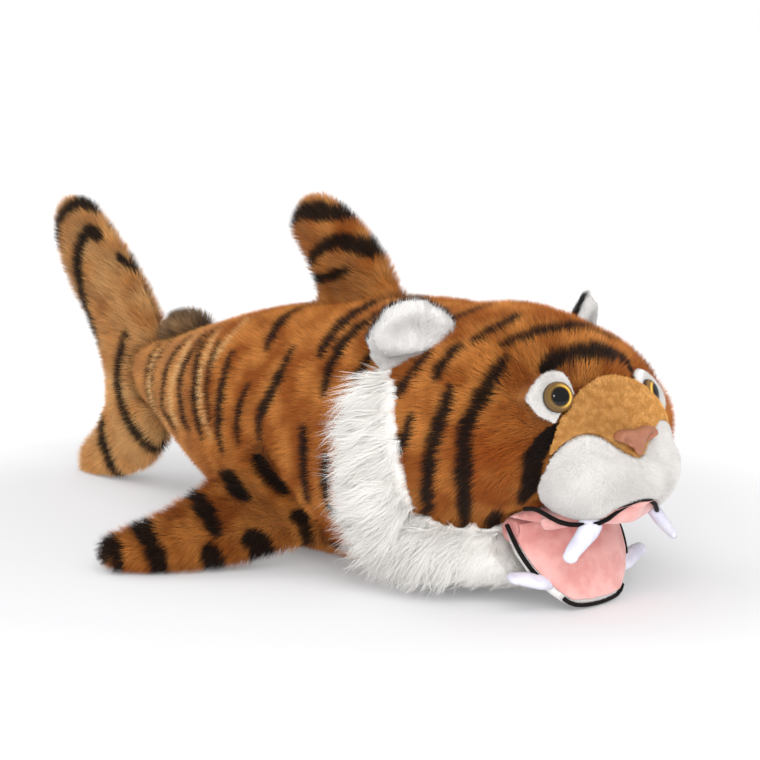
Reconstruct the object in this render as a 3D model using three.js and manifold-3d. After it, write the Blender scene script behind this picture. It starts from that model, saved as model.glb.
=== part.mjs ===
// A stuffed plush tiger that lies on its belly: tiger head with an open mouth, and a tapering
// body with fins and a two-lobed tail. Millimetres, +Z up. The nose points along -Y and the
// toy's own left side is +X. The ground is z = 0, under the middle of the toy's length.

import * as THREE from 'three';
import { mergeVertices } from 'three/addons/utils/BufferGeometryUtils.js';
import Module from 'manifold-3d';

const wasm = await Module();
wasm.setup();

// Cloth, seams and clearances
const seamGap = 0.3;              // air between two pieces that are sewn or seated together
const bendGap = 0.4;              // running gap of a seam that bends
const cloth = 2;                  // a plush skin's backing, without its pile
const overrun = 6;                // how far a cutting solid runs past what it cuts

// Torso and tail cone: one tapering form, parted at the bending seam of the tail
const neckY = -165;
const bodyLength = 360;
const bodyWidth = 168;
const bodyHeight = 185;
const coneDome = 8;
const tailSeamY = 128;            // the upright line that the tail bends about
const tailSeamRadius = 66;

// Head
const headLength = 138;
const headWidth = 186;
const headHeight = 191;
const headDome = 3;

// Tan bridge of the nose
const bridgeBackY = -276;
const bridgeLength = 45.5;
const bridgeWidth = 116;
const bridgeHeight = 160;
const bridgeDome = 2.5;

// White muzzle pad under the bridge
const muzzleBackY = -268;
const muzzleLength = 59;
const muzzleWidth = 117;
const muzzleHeight = 122;
const muzzleDome = 3;
const muzzleSeamZ = 70;           // the seam under the bridge rises from here
const muzzleSeamRise = 52;

// Mouth vault under the head and the muzzle
const mouthBackY = -245;
const mouthLength = 101;
const mouthWidth = 124;
const mouthHeight = 77;
const lining = 2;
const liningStartY = -260;
const lipRadius = 1.7;

// Lower jaw, hinged just behind the corners of the mouth
const jawHingeY = -256;
const jawHingeZ = 52;
const jawLength = 53;
const jawWidth = 108;
const jawThickness = 18;
const jawDome = 8;
const jawDroop = 55;              // degrees below level at rest
const jawDropMore = 5;            // degrees that it can still drop
const jawBeadRadius = 8;
const jawBeadLength = 92;
const jawRimTurn = 15;            // degrees round the jaw's edge, from its middle to its rim
const jawRimPast = 4;             // the trim starts this far above the hinge

// Fangs, flat stuffed horns
const fangLength = 24;
const fangWidth = 14;
const fangThickness = 7;
const fangDome = 4;
const fangRoot = 4;               // how deep a fang is sewn in
const upperFangX = 31;
const upperFangY = -313;
const upperFangZ = 62;
const lowerFangX = 37;
const lowerFangY = -278;
const lowerFangZ = 21;

// Safety eyes with washers, and felt patches round them
const eyeDiameter = 20;
const eyeHeight = 7;
const eyeRim = 1.2;
const shankRadius = 2.5;
const shankLength = 14;
const holePlay = 0.4;
const washerRadius = 9;
const washerThickness = 1.6;
const washerSag = 2.2;            // room for the curve of the cloth under a flat washer
const eyeX = 41;
const eyeY = -287;
const eyeBelowCrown = 49;
const patchWidth = 37;
const patchHeight = 34;
const felt = 1.6;
const eyeStandOff = 1;            // the flat back of an eye over the curve of its patch

// Moulded nose with its shank
const noseWidth = 37;
const noseHeight = 23;
const noseDepth = 5;
const noseBevel = 2.2;
const noseZ = 112;
const noseFrontY = -327;
const noseShank = 12;

// Ears
const earOuterX = 87;
const earOuterY = -187;
const earOuterZ = 154;
const earInnerX = 60;
const earInnerY = -206;
const earInnerZ = 172;
const earSunk = 8;                // the plate starts this far under the head's surface
const earWidth = 56;
const earHeight = 38;
const earThickness = 9;
const earDome = 7;
const earLining = 3;
const earHem = 3.5;               // rim of fur round the lining
const earLiningStart = 14;

// Long-haired ruff: a throat piece, and a crest behind each cheek
const throatWidth = 176;
const throatHeight = 84;
const throatLength = 96;
const throatDome = 8;
const crestX = 82;
const crestY = -176;
const crestZ = 92;
const crestThickness = 48;
const crestDepth = 62;
const crestHeight = 132;

// Breast fins, one on each side
const breastFrontX = 65;
const breastFrontY = -92;
const breastFrontZ = 22.5;
const breastBackX = 85;
const breastBackY = -38;
const breastBackZ = 75.5;
const breastTipX = 184;
const breastTipY = -4;
const breastTipZ = 17;
const breastSpan = 119;
const breastChord = 88;
const breastThickness = 27;
const breastDome = 6;
const breastBeadRadius = 9;

// Back fin
const backFinFrontY = -100;
const backFinBackY = -18;
const backFinSink = 3;            // its root's middle line lies this far under the back
const backFinSpan = 68;
const backFinChord = 82;
const backFinThickness = 24;
const backFinDome = 5;
const backFinBeadRadius = 8;

// Small second back fin on the tail cone
const rumpFinY = 140;
const rumpFinSink = 8;
const rumpFinFall = 15;           // degrees, falling with the cone's back
const rumpFinSpan = 18;
const rumpFinChord = 56;
const rumpFinThickness = 26;
const rumpFinDome = 4;

// Tail fin, upright, with the back corner of its lower lobe on the ground
const tailFinHeight = 216;
const tailFinReach = 317;
const tailFinThickness = 26;
const tailFinDome = 7;

// Rows of shares of a long form: along, half width, bottom, top
const bodyShares = [
  [0, 0.93, 0.005, 0.995], [0.09, 0.99, 0, 1], [0.2, 1, -0.02, 0.985], [0.33, 0.965, -0.03, 0.94],
  [0.47, 0.89, -0.01, 0.885], [0.6, 0.79, 0.07, 0.82], [0.73, 0.62, 0.18, 0.74],
  [0.85, 0.43, 0.285, 0.67], [0.93, 0.3, 0.345, 0.63], [1, 0.17, 0.38, 0.6],
];
const headShares = [
  [0, 0.86, 0.2, 0.962], [0.18, 0.97, 0.19, 0.986], [0.39, 1, 0.21, 1], [0.6, 0.95, 0.28, 0.985],
  [0.77, 0.85, 0.335, 0.935], [0.89, 0.72, 0.375, 0.86], [1, 0.53, 0.41, 0.74],
];
const bridgeShares = [
  [0, 1, 0.4, 1], [0.3, 1, 0.4, 0.985], [0.56, 0.96, 0.4, 0.945], [0.75, 0.87, 0.4, 0.88],
  [0.9, 0.7, 0.42, 0.81], [1, 0.48, 0.46, 0.74],
];
const muzzleShares = [
  [0, 0.6, 0.6, 0.88], [0.2, 0.86, 0.53, 0.96], [0.42, 0.985, 0.5, 1], [0.62, 1, 0.495, 1],
  [0.78, 0.93, 0.505, 0.975], [0.91, 0.74, 0.53, 0.93], [1, 0.46, 0.58, 0.87],
];
const mouthShares = [
  [0, 0.81, 0, 0.82], [0.08, 0.9, 0, 0.85], [0.21, 0.97, 0, 0.87], [0.35, 0.97, 0, 0.9],
  [0.48, 0.76, 0, 0.92], [0.65, 0.53, 0, 0.95], [0.81, 0.45, 0, 1], [1, 0.45, 0, 1],
];
const throatShares = [
  [0, 0.9, 0, 0.95], [0.25, 0.98, 0, 0.95], [0.5, 0.94, 0, 0.9], [0.75, 0.8, 0, 0.8],
  [1, 0.58, 0.05, 0.7],
];

// Rows of shares of a flat form: along the span, front edge, back edge, thickness
const breastShares = [
  [0, -0.43, 0.43, 0.3], [0.1, -0.42, 0.45, 0.48], [0.25, -0.32, 0.47, 0.86],
  [0.45, -0.2, 0.46, 1], [0.68, -0.03, 0.5, 1], [0.86, 0.13, 0.57, 0.85], [1, 0.32, 0.62, 0.6],
];
const backFinShares = [
  [0, -0.46, 0.46, 0.4], [0.2, -0.48, 0.49, 0.75], [0.43, -0.37, 0.52, 1],
  [0.66, -0.21, 0.62, 0.95], [0.83, -0.06, 0.72, 0.85], [0.94, 0.07, 0.69, 0.7],
  [1, 0.17, 0.6, 0.55],
];
const rumpFinShares = [
  [0, -0.5, 0.5, 0.8], [0.45, -0.46, 0.5, 1], [0.8, -0.35, 0.42, 0.9], [1, -0.24, 0.3, 0.7],
];
const tailFinShares = [
  [0, 0.8, 0.892, 0.5], [0.03, 0.73, 0.91, 0.7], [0.09, 0.62, 0.9, 0.9], [0.185, 0.555, 0.823, 1],
  [0.28, 0.54, 0.777, 1], [0.39, 0.54, 0.772, 1], [0.51, 0.545, 0.808, 1],
  [0.625, 0.565, 0.873, 0.95], [0.74, 0.621, 0.949, 0.85], [0.85, 0.697, 0.99, 0.75],
  [0.94, 0.77, 1, 0.62], [1, 0.828, 0.982, 0.5],
];
const earShares = [
  [0, -0.36, 0.36, 1], [0.35, -0.48, 0.48, 1], [0.65, -0.5, 0.5, 1], [0.85, -0.42, 0.42, 1],
  [1, -0.3, 0.3, 0.9],
];
const fangShares = [
  [0, -0.5, 0.5, 1], [0.3, -0.7, 0.3, 1], [0.65, -1.02, -0.15, 0.9], [1, -1.25, -0.6, 0.6],
];
const jawShares = [
  [0, -0.463, 0.463, 0.84], [0.28, -0.463, 0.463, 1], [0.57, -0.425, 0.425, 1],
  [0.8, -0.36, 0.36, 0.92], [1, -0.27, 0.27, 0.72],
];

// Outlines and lines, as shares of a width and a height
const muzzleSeamShares = [
  [-0.5, 0.62], [-0.44, 0.83], [-0.38, 0.95], [-0.3, 1], [-0.215, 0.95], [-0.12, 0.79],
  [0, 0.65], [0.12, 0.79], [0.215, 0.95], [0.3, 1], [0.38, 0.95], [0.44, 0.83], [0.5, 0.62],
];
const noseShares = [
  [-0.5, 0.28], [-0.42, 0.47], [-0.2, 0.48], [0, 0.43], [0.2, 0.48], [0.42, 0.47], [0.5, 0.28],
  [0.34, 0.14], [0.15, 0], [0.08, -0.4], [0, -0.5], [-0.08, -0.4], [-0.15, 0], [-0.34, 0.14],
];
const patchShares = [
  [-0.66, 0.02], [-0.4, 0.3], [-0.1, 0.5], [0.2, 0.4], [0.34, 0.05], [0.26, -0.3], [0.1, -0.5],
  [-0.12, -0.4], [-0.4, -0.22],
];

// The upper lip's right half, from the corner to the middle, as shares of the muzzle's sizes
const upperLipShares = [
  [0.49, 0.2, 0.55], [0.48, 0.42, 0.565], [0.4, 0.55, 0.53], [0.3, 0.7, 0.52], [0.22, 0.86, 0.535],
  [0.14, 0.95, 0.595], [0, 0.99, 0.635],
];

// Directions as shares of X, Y and Z
const eyeAimShares = [-0.42, -0.86, 0.28];
const earRiseShares = [-0.12, -0.2, 0.97];
const upperFangChordShares = [0.73, -0.68, 0];
const upperFangSpanShares = [-0.39, -0.41, -0.83];
const lowerFangChordShares = [0.33, -0.77, -0.55];
const lowerFangSpanShares = [-0.94, -0.32, -0.12];

const plush = new THREE.MeshStandardMaterial({ color: 0xb9712f, roughness: 0.95, metalness: 0 });
const whitePlush = new THREE.MeshStandardMaterial({ color: 0xefece6, roughness: 0.95, metalness: 0 });
const tanPlush = new THREE.MeshStandardMaterial({ color: 0xcf9a58, roughness: 0.95, metalness: 0 });
const pinkCloth = new THREE.MeshStandardMaterial({ color: 0xe6aca6, roughness: 0.9, metalness: 0 });
const blackCloth = new THREE.MeshStandardMaterial({ color: 0x1c1816, roughness: 0.9, metalness: 0 });
const satin = new THREE.MeshStandardMaterial({ color: 0xdfdce6, roughness: 0.5, metalness: 0 });
const fibre = new THREE.MeshStandardMaterial({ color: 0xf4f3ef, roughness: 1, metalness: 0 });
const vinyl = new THREE.MeshStandardMaterial({ color: 0xb97d69, roughness: 0.45, metalness: 0 });
const eyePlastic = new THREE.MeshStandardMaterial({ color: 0x8a5a14, roughness: 0.1, metalness: 0 });
const washerPlastic = new THREE.MeshStandardMaterial({ color: 0xe8e8e8, roughness: 0.5, metalness: 0 });

const tiger = new THREE.Group();
const point = (x, y, z) => new THREE.Vector3(x, y, z);
const { degToRad, lerp } = THREE.MathUtils;

// A closed solid through rings of equal count, with a middle point at each end. The faces of
// one half lean the other way, so that a symmetric ring gives a symmetric solid.
function throughRings(rings) {
  const sides = rings[0].length;
  const ends = [rings[0], rings.at(-1)].map(
    (ring) => ring.reduce((sum, vertex) => sum.add(vertex), point(0, 0, 0)).divideScalar(sides),
  );
  const first = rings.length * sides;
  const last = first - sides;
  const index = [];
  for (let side = 0; side < sides; side += 1) {
    const next = (side + 1) % sides;
    const leaning = Math.abs(2 * side + 2 - sides) * 2 < sides;
    for (let row = 0; row < last; row += sides) {
      const [a, b, c, d] = [row + side, row + next, row + sides + next, row + sides + side];
      index.push(...(leaning ? [a, b, d, b, c, d] : [a, b, c, a, c, d]));
    }
    index.push(first, next, side, first + 1, last + side, last + next);
  }
  const geometry = new THREE.BufferGeometry().setFromPoints([...rings.flat(), ...ends]);
  geometry.setIndex(index);
  return facingOut(geometry);
}

function turnedFaces(geometry) {
  const index = geometry.index.array;
  for (let i = 0; i < index.length; i += 3) {
    [index[i], index[i + 1]] = [index[i + 1], index[i]];
  }
  return geometry;
}

// The same closed surface, with its faces turned round where they point inwards.
function facingOut(geometry) {
  const { position } = geometry.attributes;
  const index = geometry.index.array;
  const corners = [point(0, 0, 0), point(0, 0, 0), point(0, 0, 0)];
  let volume = 0;
  for (let i = 0; i < index.length; i += 3) {
    corners.forEach((corner, k) => corner.fromBufferAttribute(position, index[i + k]));
    volume += corners[0].dot(corners[1].clone().cross(corners[2]));
  }
  return volume < 0 ? turnedFaces(geometry) : geometry;
}

function bare(geometry) {
  const copy = geometry.clone();
  copy.deleteAttribute('normal');
  copy.deleteAttribute('uv');
  return mergeVertices(copy);
}

function solid(geometry) {
  const { attributes, index } = facingOut(bare(geometry));
  return new wasm.Manifold(new wasm.Mesh({
    numProp: 3,
    vertProperties: new Float32Array(attributes.position.array),
    triVerts: new Uint32Array(index.array),
  }));
}

function geometryOf(manifold) {
  const { vertProperties, triVerts } = manifold.getMesh();
  const geometry = new THREE.BufferGeometry();
  geometry.setAttribute('position', new THREE.BufferAttribute(vertProperties, 3));
  geometry.setIndex(new THREE.BufferAttribute(triVerts, 1));
  geometry.computeVertexNormals();
  return geometry;
}

function mirrored(geometry) {
  const copy = turnedFaces(geometry.clone().scale(-1, 1, 1));
  copy.computeVertexNormals();
  return copy;
}

// A solid of the right side with its mirror image on the left.
function bothSides(manifold) {
  return [manifold, solid(mirrored(geometryOf(manifold)))];
}

function add(name, geometry, material) {
  const mesh = new THREE.Mesh(geometry, material);
  mesh.name = name;
  tiger.add(mesh);
}

function addSolid(name, manifold, material) {
  add(name, geometryOf(manifold), material);
}

// A piece that the toy has on both sides, built for the right one.
function addPair(name, manifold, material) {
  const geometry = geometryOf(manifold);
  add(`right_${name}`, geometry, material);
  add(`left_${name}`, mirrored(geometry), material);
}

function without(whole, cutters) {
  return cutters.reduce((left, cutter) => left.subtract(cutter), whole);
}

// A smooth curve through the rows of a share table.
function curveThrough(table) {
  const values = table.flatMap((row) => row.slice(1));
  return new THREE.CubicInterpolant(table.map((row) => row[0]), values, table[0].length - 1);
}

// Rows of a share table, with smooth rows set between them.
function smoothRows(table, between) {
  const curve = curveThrough(table);
  const rows = [table[0]];
  for (let i = 1; i < table.length; i += 1) {
    for (let step = 1; step <= between; step += 1) {
      const share = lerp(table[i - 1][0], table[i][0], step / between);
      rows.push([share, ...curve.evaluate(share)]);
    }
  }
  return rows;
}

// How high the torso's or tail cone's back is at a place along the toy.
function backHeightAt(y) {
  return curveThrough(bodyShares).evaluate((y - neckY) / bodyLength).at(-1) * bodyHeight;
}

// One rounded ring in an upright plane, flat where it would sink below the ground.
function uprightRing(row, form) {
  const middle = (row.low + row.high) / 2;
  const reach = (row.high - row.low) / 2;
  const ground = form.onGround ? form.inset : -Infinity;
  const round = 2 / form.squareness;
  return Array.from({ length: form.sides }, (_, side) => {
    const turn = (2 * Math.PI * (side + 0.5)) / form.sides;
    const across = Math.sign(Math.cos(turn)) * Math.abs(Math.cos(turn)) ** round;
    const upward = Math.sign(Math.sin(turn)) * Math.abs(Math.sin(turn)) ** round;
    return point(row.half * across, row.y, Math.max(middle + reach * upward, ground));
  });
}

const domeTilts = [Math.PI / 5, Math.PI / 2.6];

// A form that swells and tapers along Y. An inset makes it smaller all round. Its first end is
// flat, and its last end is a dome.
function longForm(options) {
  const form = {
    between: 1, sides: 20, squareness: 2.4, dome: 0, inset: 0, startPast: 0, onGround: false, ...options,
  };
  const heading = Math.sign(form.length);
  const rows = smoothRows(form.shares, form.between).map(([along, half, low, high]) => ({
    y: form.start + form.length * along,
    half: (half * form.width) / 2 - form.inset,
    low: low * form.height + form.inset,
    high: high * form.height - form.inset,
  }));
  if (form.startPast !== 0) {
    rows.unshift({ ...rows[0], y: form.start - heading * form.startPast });
  }
  const last = rows.at(-1);
  const middle = (last.low + last.high) / 2;
  for (const tilt of form.dome > 0 ? domeTilts : []) {
    const shrink = Math.cos(tilt);
    rows.push({
      y: last.y + heading * (form.dome - form.inset) * Math.sin(tilt),
      half: last.half * shrink,
      low: lerp(middle, last.low, shrink),
      high: lerp(middle, last.high, shrink),
    });
  }
  return solid(throughRings(rows.map((row) => uprightRing(row, form))));
}

// Rows of a flat form in its own frame: thickness along X, chord along Y and span along Z.
function flatRows(options) {
  const form = { between: 1, dome: 0, inset: 0, rootPast: 0, ...options };
  const rows = smoothRows(form.shares, form.between).map(([along, front, back, thick]) => ({
    z: form.span * along,
    middle: ((front + back) / 2) * form.chord,
    half: ((back - front) / 2) * form.chord - form.inset,
    thick: (thick * form.thickness) / 2 - form.inset,
  }));
  if (form.rootPast !== 0) {
    rows.unshift({ ...rows[0], z: -form.rootPast });
  }
  const last = rows.at(-1);
  for (const tilt of form.dome > 0 ? domeTilts : []) {
    rows.push({
      z: last.z + (form.dome - form.inset) * Math.sin(tilt),
      middle: last.middle,
      half: last.half * Math.cos(tilt),
      thick: last.thick * Math.cos(tilt),
    });
  }
  return rows;
}

// A flat stuffed form with rounded edges, set in a frame.
function flatForm(frame, options) {
  const sides = options.sides ?? 10;
  const rings = flatRows(options).map((row) => Array.from({ length: sides }, (_, side) => {
    const turn = (2 * Math.PI * side) / sides;
    return point(row.thick * Math.sin(turn), row.middle + row.half * Math.cos(turn), row.z);
  }));
  return solid(throughRings(rings).applyMatrix4(frame));
}

// A right-handed frame at a place, with its chord and span along two directions.
function frameAt(place, chordHint, spanHint) {
  const chord = chordHint.clone().normalize();
  const span = spanHint.clone().addScaledVector(chord, -spanHint.dot(chord)).normalize();
  return new THREE.Matrix4().makeBasis(chord.clone().cross(span), chord, span).setPosition(place);
}

function frameBetween(front, back, spanHint) {
  return frameAt(front.clone().lerp(back, 0.5), back.clone().sub(front), spanHint);
}

// A round bar along a frame's chord: the rolled root of a limb, or the groove that it turns in.
function rootBar(frame, radius, length) {
  return solid(new THREE.CylinderGeometry(radius, radius, length, 20).applyMatrix4(frame));
}

// A round bar along a direction from a seat, for shanks, holes and washers.
function bar(seat, direction, radius, from, to) {
  const geometry = new THREE.CylinderGeometry(radius, radius, to - from, 16);
  geometry.applyQuaternion(new THREE.Quaternion().setFromUnitVectors(point(0, 1, 0), direction));
  const middle = seat.clone().addScaledVector(direction, (from + to) / 2);
  return solid(geometry.translate(middle.x, middle.y, middle.z));
}

// A long block from one corner to the other, used to cut with.
function block(low, high) {
  const size = high.clone().sub(low);
  const middle = low.clone().lerp(high, 0.5);
  return new THREE.BoxGeometry(size.x, size.y, size.z).translate(middle.x, middle.y, middle.z);
}

// A round cord of trim along a smooth line.
function piping(line, radius) {
  const shape = new THREE.Shape().absarc(0, 0, radius, 0, 2 * Math.PI);
  const extrudePath = new THREE.CatmullRomCurve3(line, false, 'centripetal');
  const steps = 2 * line.length;
  return solid(new THREE.ExtrudeGeometry(shape, { steps, curveSegments: 3, extrudePath }));
}

// A closed smooth outline from shares of a width and a height.
function outline(shares, width, height, steps) {
  const corners = shares.map(([x, y]) => point(x * width, y * height, 0));
  const curve = new THREE.CatmullRomCurve3(corners, true);
  return new THREE.Shape(curve.getPoints(steps).slice(0, -1).map(({ x, y }) => new THREE.Vector2(x, y)));
}

// Where a line through a place, seen from outside along a direction, meets a solid.
function seatOn(manifold, through, direction) {
  const from = through.clone().addScaledVector(direction, headWidth);
  const ray = new THREE.Raycaster(from, direction.clone().negate());
  return ray.intersectObject(new THREE.Mesh(geometryOf(manifold)))[0].point;
}

const innerSides = 14;
const bodyForm = (inset, more = {}) => longForm({
  start: neckY, length: bodyLength, width: bodyWidth, height: bodyHeight, shares: bodyShares,
  dome: coneDome, onGround: true, squareness: 2.5, inset, ...more,
});
const headForm = (inset, more = {}) => longForm({
  start: neckY - bendGap, length: -headLength, width: headWidth, height: headHeight,
  shares: headShares, dome: headDome, inset, ...more,
});
const bridgeForm = (inset) => longForm({
  start: bridgeBackY, length: -bridgeLength, width: bridgeWidth, height: bridgeHeight,
  shares: bridgeShares, dome: bridgeDome, inset, squareness: 2.1, startPast: overrun,
});
const muzzleForm = (inset) => longForm({
  start: muzzleBackY, length: -muzzleLength, width: muzzleWidth, height: muzzleHeight,
  shares: muzzleShares, dome: muzzleDome, inset, squareness: 2.2,
});
const mouthForm = (inset) => longForm({
  start: mouthBackY - inset, length: -mouthLength, width: mouthWidth, height: mouthHeight,
  shares: mouthShares, inset, squareness: 4, sides: 20,
});
const throatForm = (inset) => longForm({
  start: neckY - bendGap - inset, length: -throatLength, width: throatWidth, height: throatHeight,
  shares: throatShares, dome: throatDome, inset, onGround: inset === 0,
});

// The space that the tail takes: a round upright seam with everything behind it.
function tailSpace(radius) {
  const height = 2 * (bodyHeight + overrun);
  const round = new THREE.CylinderGeometry(radius, radius, height, 64).rotateX(Math.PI / 2);
  const behind = block(point(-bodyWidth, 0, -height / 2), point(bodyWidth, tailFinReach, height / 2));
  return solid(round.translate(0, tailSeamY, 0)).add(solid(behind.translate(0, tailSeamY, 0)));
}

const breastFront = point(-breastFrontX, breastFrontY, breastFrontZ);
const breastBack = point(-breastBackX, breastBackY, breastBackZ);
const breastTip = point(-breastTipX, breastTipY, breastTipZ);
const breastFrame = frameBetween(
  breastFront,
  breastBack,
  breastTip.clone().sub(breastFront.clone().lerp(breastBack, 0.5)),
);
const breastBeadLength = breastFront.distanceTo(breastBack);
const backFinFront = point(0, backFinFrontY, backHeightAt(backFinFrontY) - backFinSink);
const backFinBack = point(0, backFinBackY, backHeightAt(backFinBackY) - backFinSink);
const backFinFrame = frameBetween(backFinFront, backFinBack, point(0, 0, 1));
const backFinBeadLength = backFinFront.distanceTo(backFinBack);

function finGrooves() {
  const breast = rootBar(breastFrame, breastBeadRadius + seamGap, breastBeadLength + 2 * seamGap);
  const back = rootBar(backFinFrame, backFinBeadRadius + seamGap, backFinBeadLength + 2 * seamGap);
  return [...bothSides(breast), back];
}

function addTorsoAndTailCone() {
  const skin = bodyForm(0).subtract(bodyForm(cloth, { sides: innerSides, startPast: overrun }));
  const filling = bodyForm(cloth + seamGap, { sides: innerSides });
  const cuts = [tailSpace(tailSeamRadius + bendGap), ...finGrooves()];
  const tail = tailSpace(tailSeamRadius);
  addSolid('torso_skin', without(skin, cuts), plush);
  addSolid('torso_stuffing', without(filling, cuts), fibre);
  addSolid('tail_skin', skin.intersect(tail), plush);
  addSolid('tail_stuffing', filling.intersect(tail), fibre);
}

// A fin that swings: a skin with a rolled root, open underneath, and its stuffing.
function swingingFin(frame, form, beadRadius, beadLength) {
  const outer = flatForm(frame, form).add(rootBar(frame, beadRadius, beadLength));
  const hollow = flatForm(frame, { ...form, inset: cloth, rootPast: beadRadius + overrun });
  const filling = flatForm(frame, { ...form, inset: cloth + seamGap, rootPast: beadRadius / 2 });
  return { skin: outer.subtract(hollow), filling };
}

function addSwingingFins() {
  const breast = swingingFin(breastFrame, {
    span: breastSpan, chord: breastChord, thickness: breastThickness, shares: breastShares,
    dome: breastDome,
  }, breastBeadRadius, breastBeadLength);
  addPair('breast_fin_skin', breast.skin, plush);
  addPair('breast_fin_stuffing', breast.filling, fibre);
  const back = swingingFin(backFinFrame, {
    span: backFinSpan, chord: backFinChord, thickness: backFinThickness, shares: backFinShares,
    dome: backFinDome,
  }, backFinBeadRadius, backFinBeadLength);
  addSolid('back_fin_skin', back.skin, plush);
  addSolid('back_fin_stuffing', back.filling, fibre);
}

// The tail fin's form, shrunk by an inset that also lifts its foot off the ground.
function tailFinForm(inset) {
  const shares = tailFinShares.map(([along, ...rest], row) => (
    [row === 0 ? along + inset / tailFinHeight : along, ...rest]
  ));
  return flatForm(new THREE.Matrix4(), {
    span: tailFinHeight, chord: tailFinReach, thickness: tailFinThickness, shares, inset,
    dome: tailFinDome,
  });
}

function addTailFins() {
  const cone = bodyForm(-seamGap);
  const skin = tailFinForm(0).subtract(tailFinForm(cloth));
  addSolid('tail_fin_skin', skin.subtract(cone), plush);
  addSolid('tail_fin_stuffing', tailFinForm(cloth + seamGap).subtract(cone), fibre);
  const fall = degToRad(rumpFinFall);
  const frame = frameAt(
    point(0, rumpFinY, backHeightAt(rumpFinY) - rumpFinSink),
    point(0, Math.cos(fall), -Math.sin(fall)),
    point(0, 0, 1),
  );
  const rump = flatForm(frame, {
    span: rumpFinSpan, chord: rumpFinChord, thickness: rumpFinThickness, shares: rumpFinShares,
    dome: rumpFinDome,
  });
  addSolid('rump_fin', rump.subtract(cone), plush);
}

const eyeAim = point(...eyeAimShares).normalize();
const eyeSeat = seatOn(headForm(0), point(-eyeX, eyeY, headHeight - eyeBelowCrown), eyeAim);
const eyeBack = seamGap + felt + eyeStandOff;
const shankHole = bar(eyeSeat, eyeAim, shankRadius + holePlay, -shankLength, overrun);

function addHead() {
  const cuts = [mouthForm(0), ...bothSides(shankHole)];
  const skin = headForm(0).subtract(headForm(cloth, { sides: innerSides, startPast: overrun }));
  addSolid('head_skin', without(skin, cuts), plush);
  const washerFront = -cloth - washerSag;
  const pocket = bar(
    eyeSeat,
    eyeAim,
    washerRadius + holePlay,
    washerFront - washerThickness - seamGap,
    washerFront + washerSag,
  );
  const filling = headForm(cloth + seamGap, { sides: innerSides });
  addSolid('head_stuffing', without(filling, [...cuts, ...bothSides(pocket)]), fibre);
}

function addEyes() {
  const radius = eyeDiameter / 2;
  const dome = Array.from({ length: 6 }, (_, step) => {
    const tilt = (Math.PI / 2) * (step / 5);
    return [radius * Math.sin(tilt), eyeRim + (eyeHeight - eyeRim) * Math.cos(tilt)];
  });
  const shankEnd = seamGap + eyeBack - shankLength;
  const profile = [...dome, [radius, 0], [shankRadius, 0], [shankRadius, shankEnd], [0, shankEnd]];
  const eye = new THREE.LatheGeometry(profile.map(([x, y]) => new THREE.Vector2(x, y)), 18);
  eye.applyQuaternion(new THREE.Quaternion().setFromUnitVectors(point(0, 1, 0), eyeAim));
  const seat = eyeSeat.clone().addScaledVector(eyeAim, eyeBack);
  addPair('eye', solid(eye.translate(seat.x, seat.y, seat.z)), eyePlastic);
  const washerFront = -cloth - washerSag;
  const washer = bar(eyeSeat, eyeAim, washerRadius, washerFront - washerThickness, washerFront);
  const bore = bar(eyeSeat, eyeAim, shankRadius + holePlay / 2, -2 * shankLength, 0);
  addPair('eye_washer', washer.subtract(bore), washerPlastic);
}

function addEyePatches() {
  const shape = outline(patchShares, patchWidth, patchHeight, 27);
  const depth = headLength / 2;
  const across = point(0, 0, 1).cross(eyeAim).normalize();
  const frame = new THREE.Matrix4().makeBasis(across, eyeAim.clone().cross(across), eyeAim);
  frame.setPosition(eyeSeat.clone().addScaledVector(eyeAim, -depth / 2));
  const prism = solid(new THREE.ExtrudeGeometry(shape, { depth, bevelEnabled: false }).applyMatrix4(frame));
  const sheet = headForm(-seamGap - felt).subtract(headForm(-seamGap));
  const eyeRoom = bar(eyeSeat, eyeAim, eyeDiameter / 2 + seamGap, eyeBack - seamGap, eyeBack + overrun);
  const cuts = [shankHole, eyeRoom, bridgeForm(-seamGap), muzzleForm(-seamGap)];
  addPair('eye_patch', without(sheet.intersect(prism), cuts), whitePlush);
}

// Everything below the seam between the bridge and the muzzle, raised by a lift.
function belowSeam(lift) {
  const line = muzzleSeamShares.map(
    ([x, z]) => new THREE.Vector2(x * muzzleWidth, muzzleSeamZ + z * muzzleSeamRise + lift),
  );
  const shape = new THREE.Shape(new THREE.SplineCurve(line).getPoints(2 * line.length));
  shape.lineTo(muzzleWidth, muzzleSeamZ + lift);
  shape.lineTo(muzzleWidth, -overrun);
  shape.lineTo(-muzzleWidth, -overrun);
  shape.lineTo(-muzzleWidth, muzzleSeamZ + lift);
  const depth = 2 * muzzleLength;
  const geometry = new THREE.ExtrudeGeometry(shape, { depth, bevelEnabled: false });
  return solid(geometry.rotateX(Math.PI / 2).translate(0, muzzleBackY + depth / 3, 0));
}

const backward = point(0, 1, 0);
const noseSeat = seatOn(bridgeForm(0), point(0, noseFrontY, noseZ), backward.clone().negate());

function addSnout() {
  const hole = bar(noseSeat, backward, shankRadius + holePlay, -overrun, noseShank + overrun);
  const washerFront = noseShank - washerThickness - 2 * seamGap;
  const pocket = bar(noseSeat, backward, washerRadius + holePlay, washerFront - seamGap, 2 * bridgeLength);
  const eyeRoom = bar(eyeSeat, eyeAim, eyeDiameter / 2 + seamGap, 0, 2 * eyeHeight);
  const cuts = [headForm(-seamGap), mouthForm(0), hole, pocket, ...bothSides(eyeRoom)];
  const snout = without(bridgeForm(0).add(muzzleForm(0)), cuts);
  const seats = [...bothSides(upperFang(-seamGap)), upperLip(seamGap)];
  addSolid('muzzle_pad', without(snout.intersect(belowSeam(0)), seats), whitePlush);
  addSolid('nose_bridge', snout.subtract(belowSeam(seamGap)), tanPlush);
}

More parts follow.
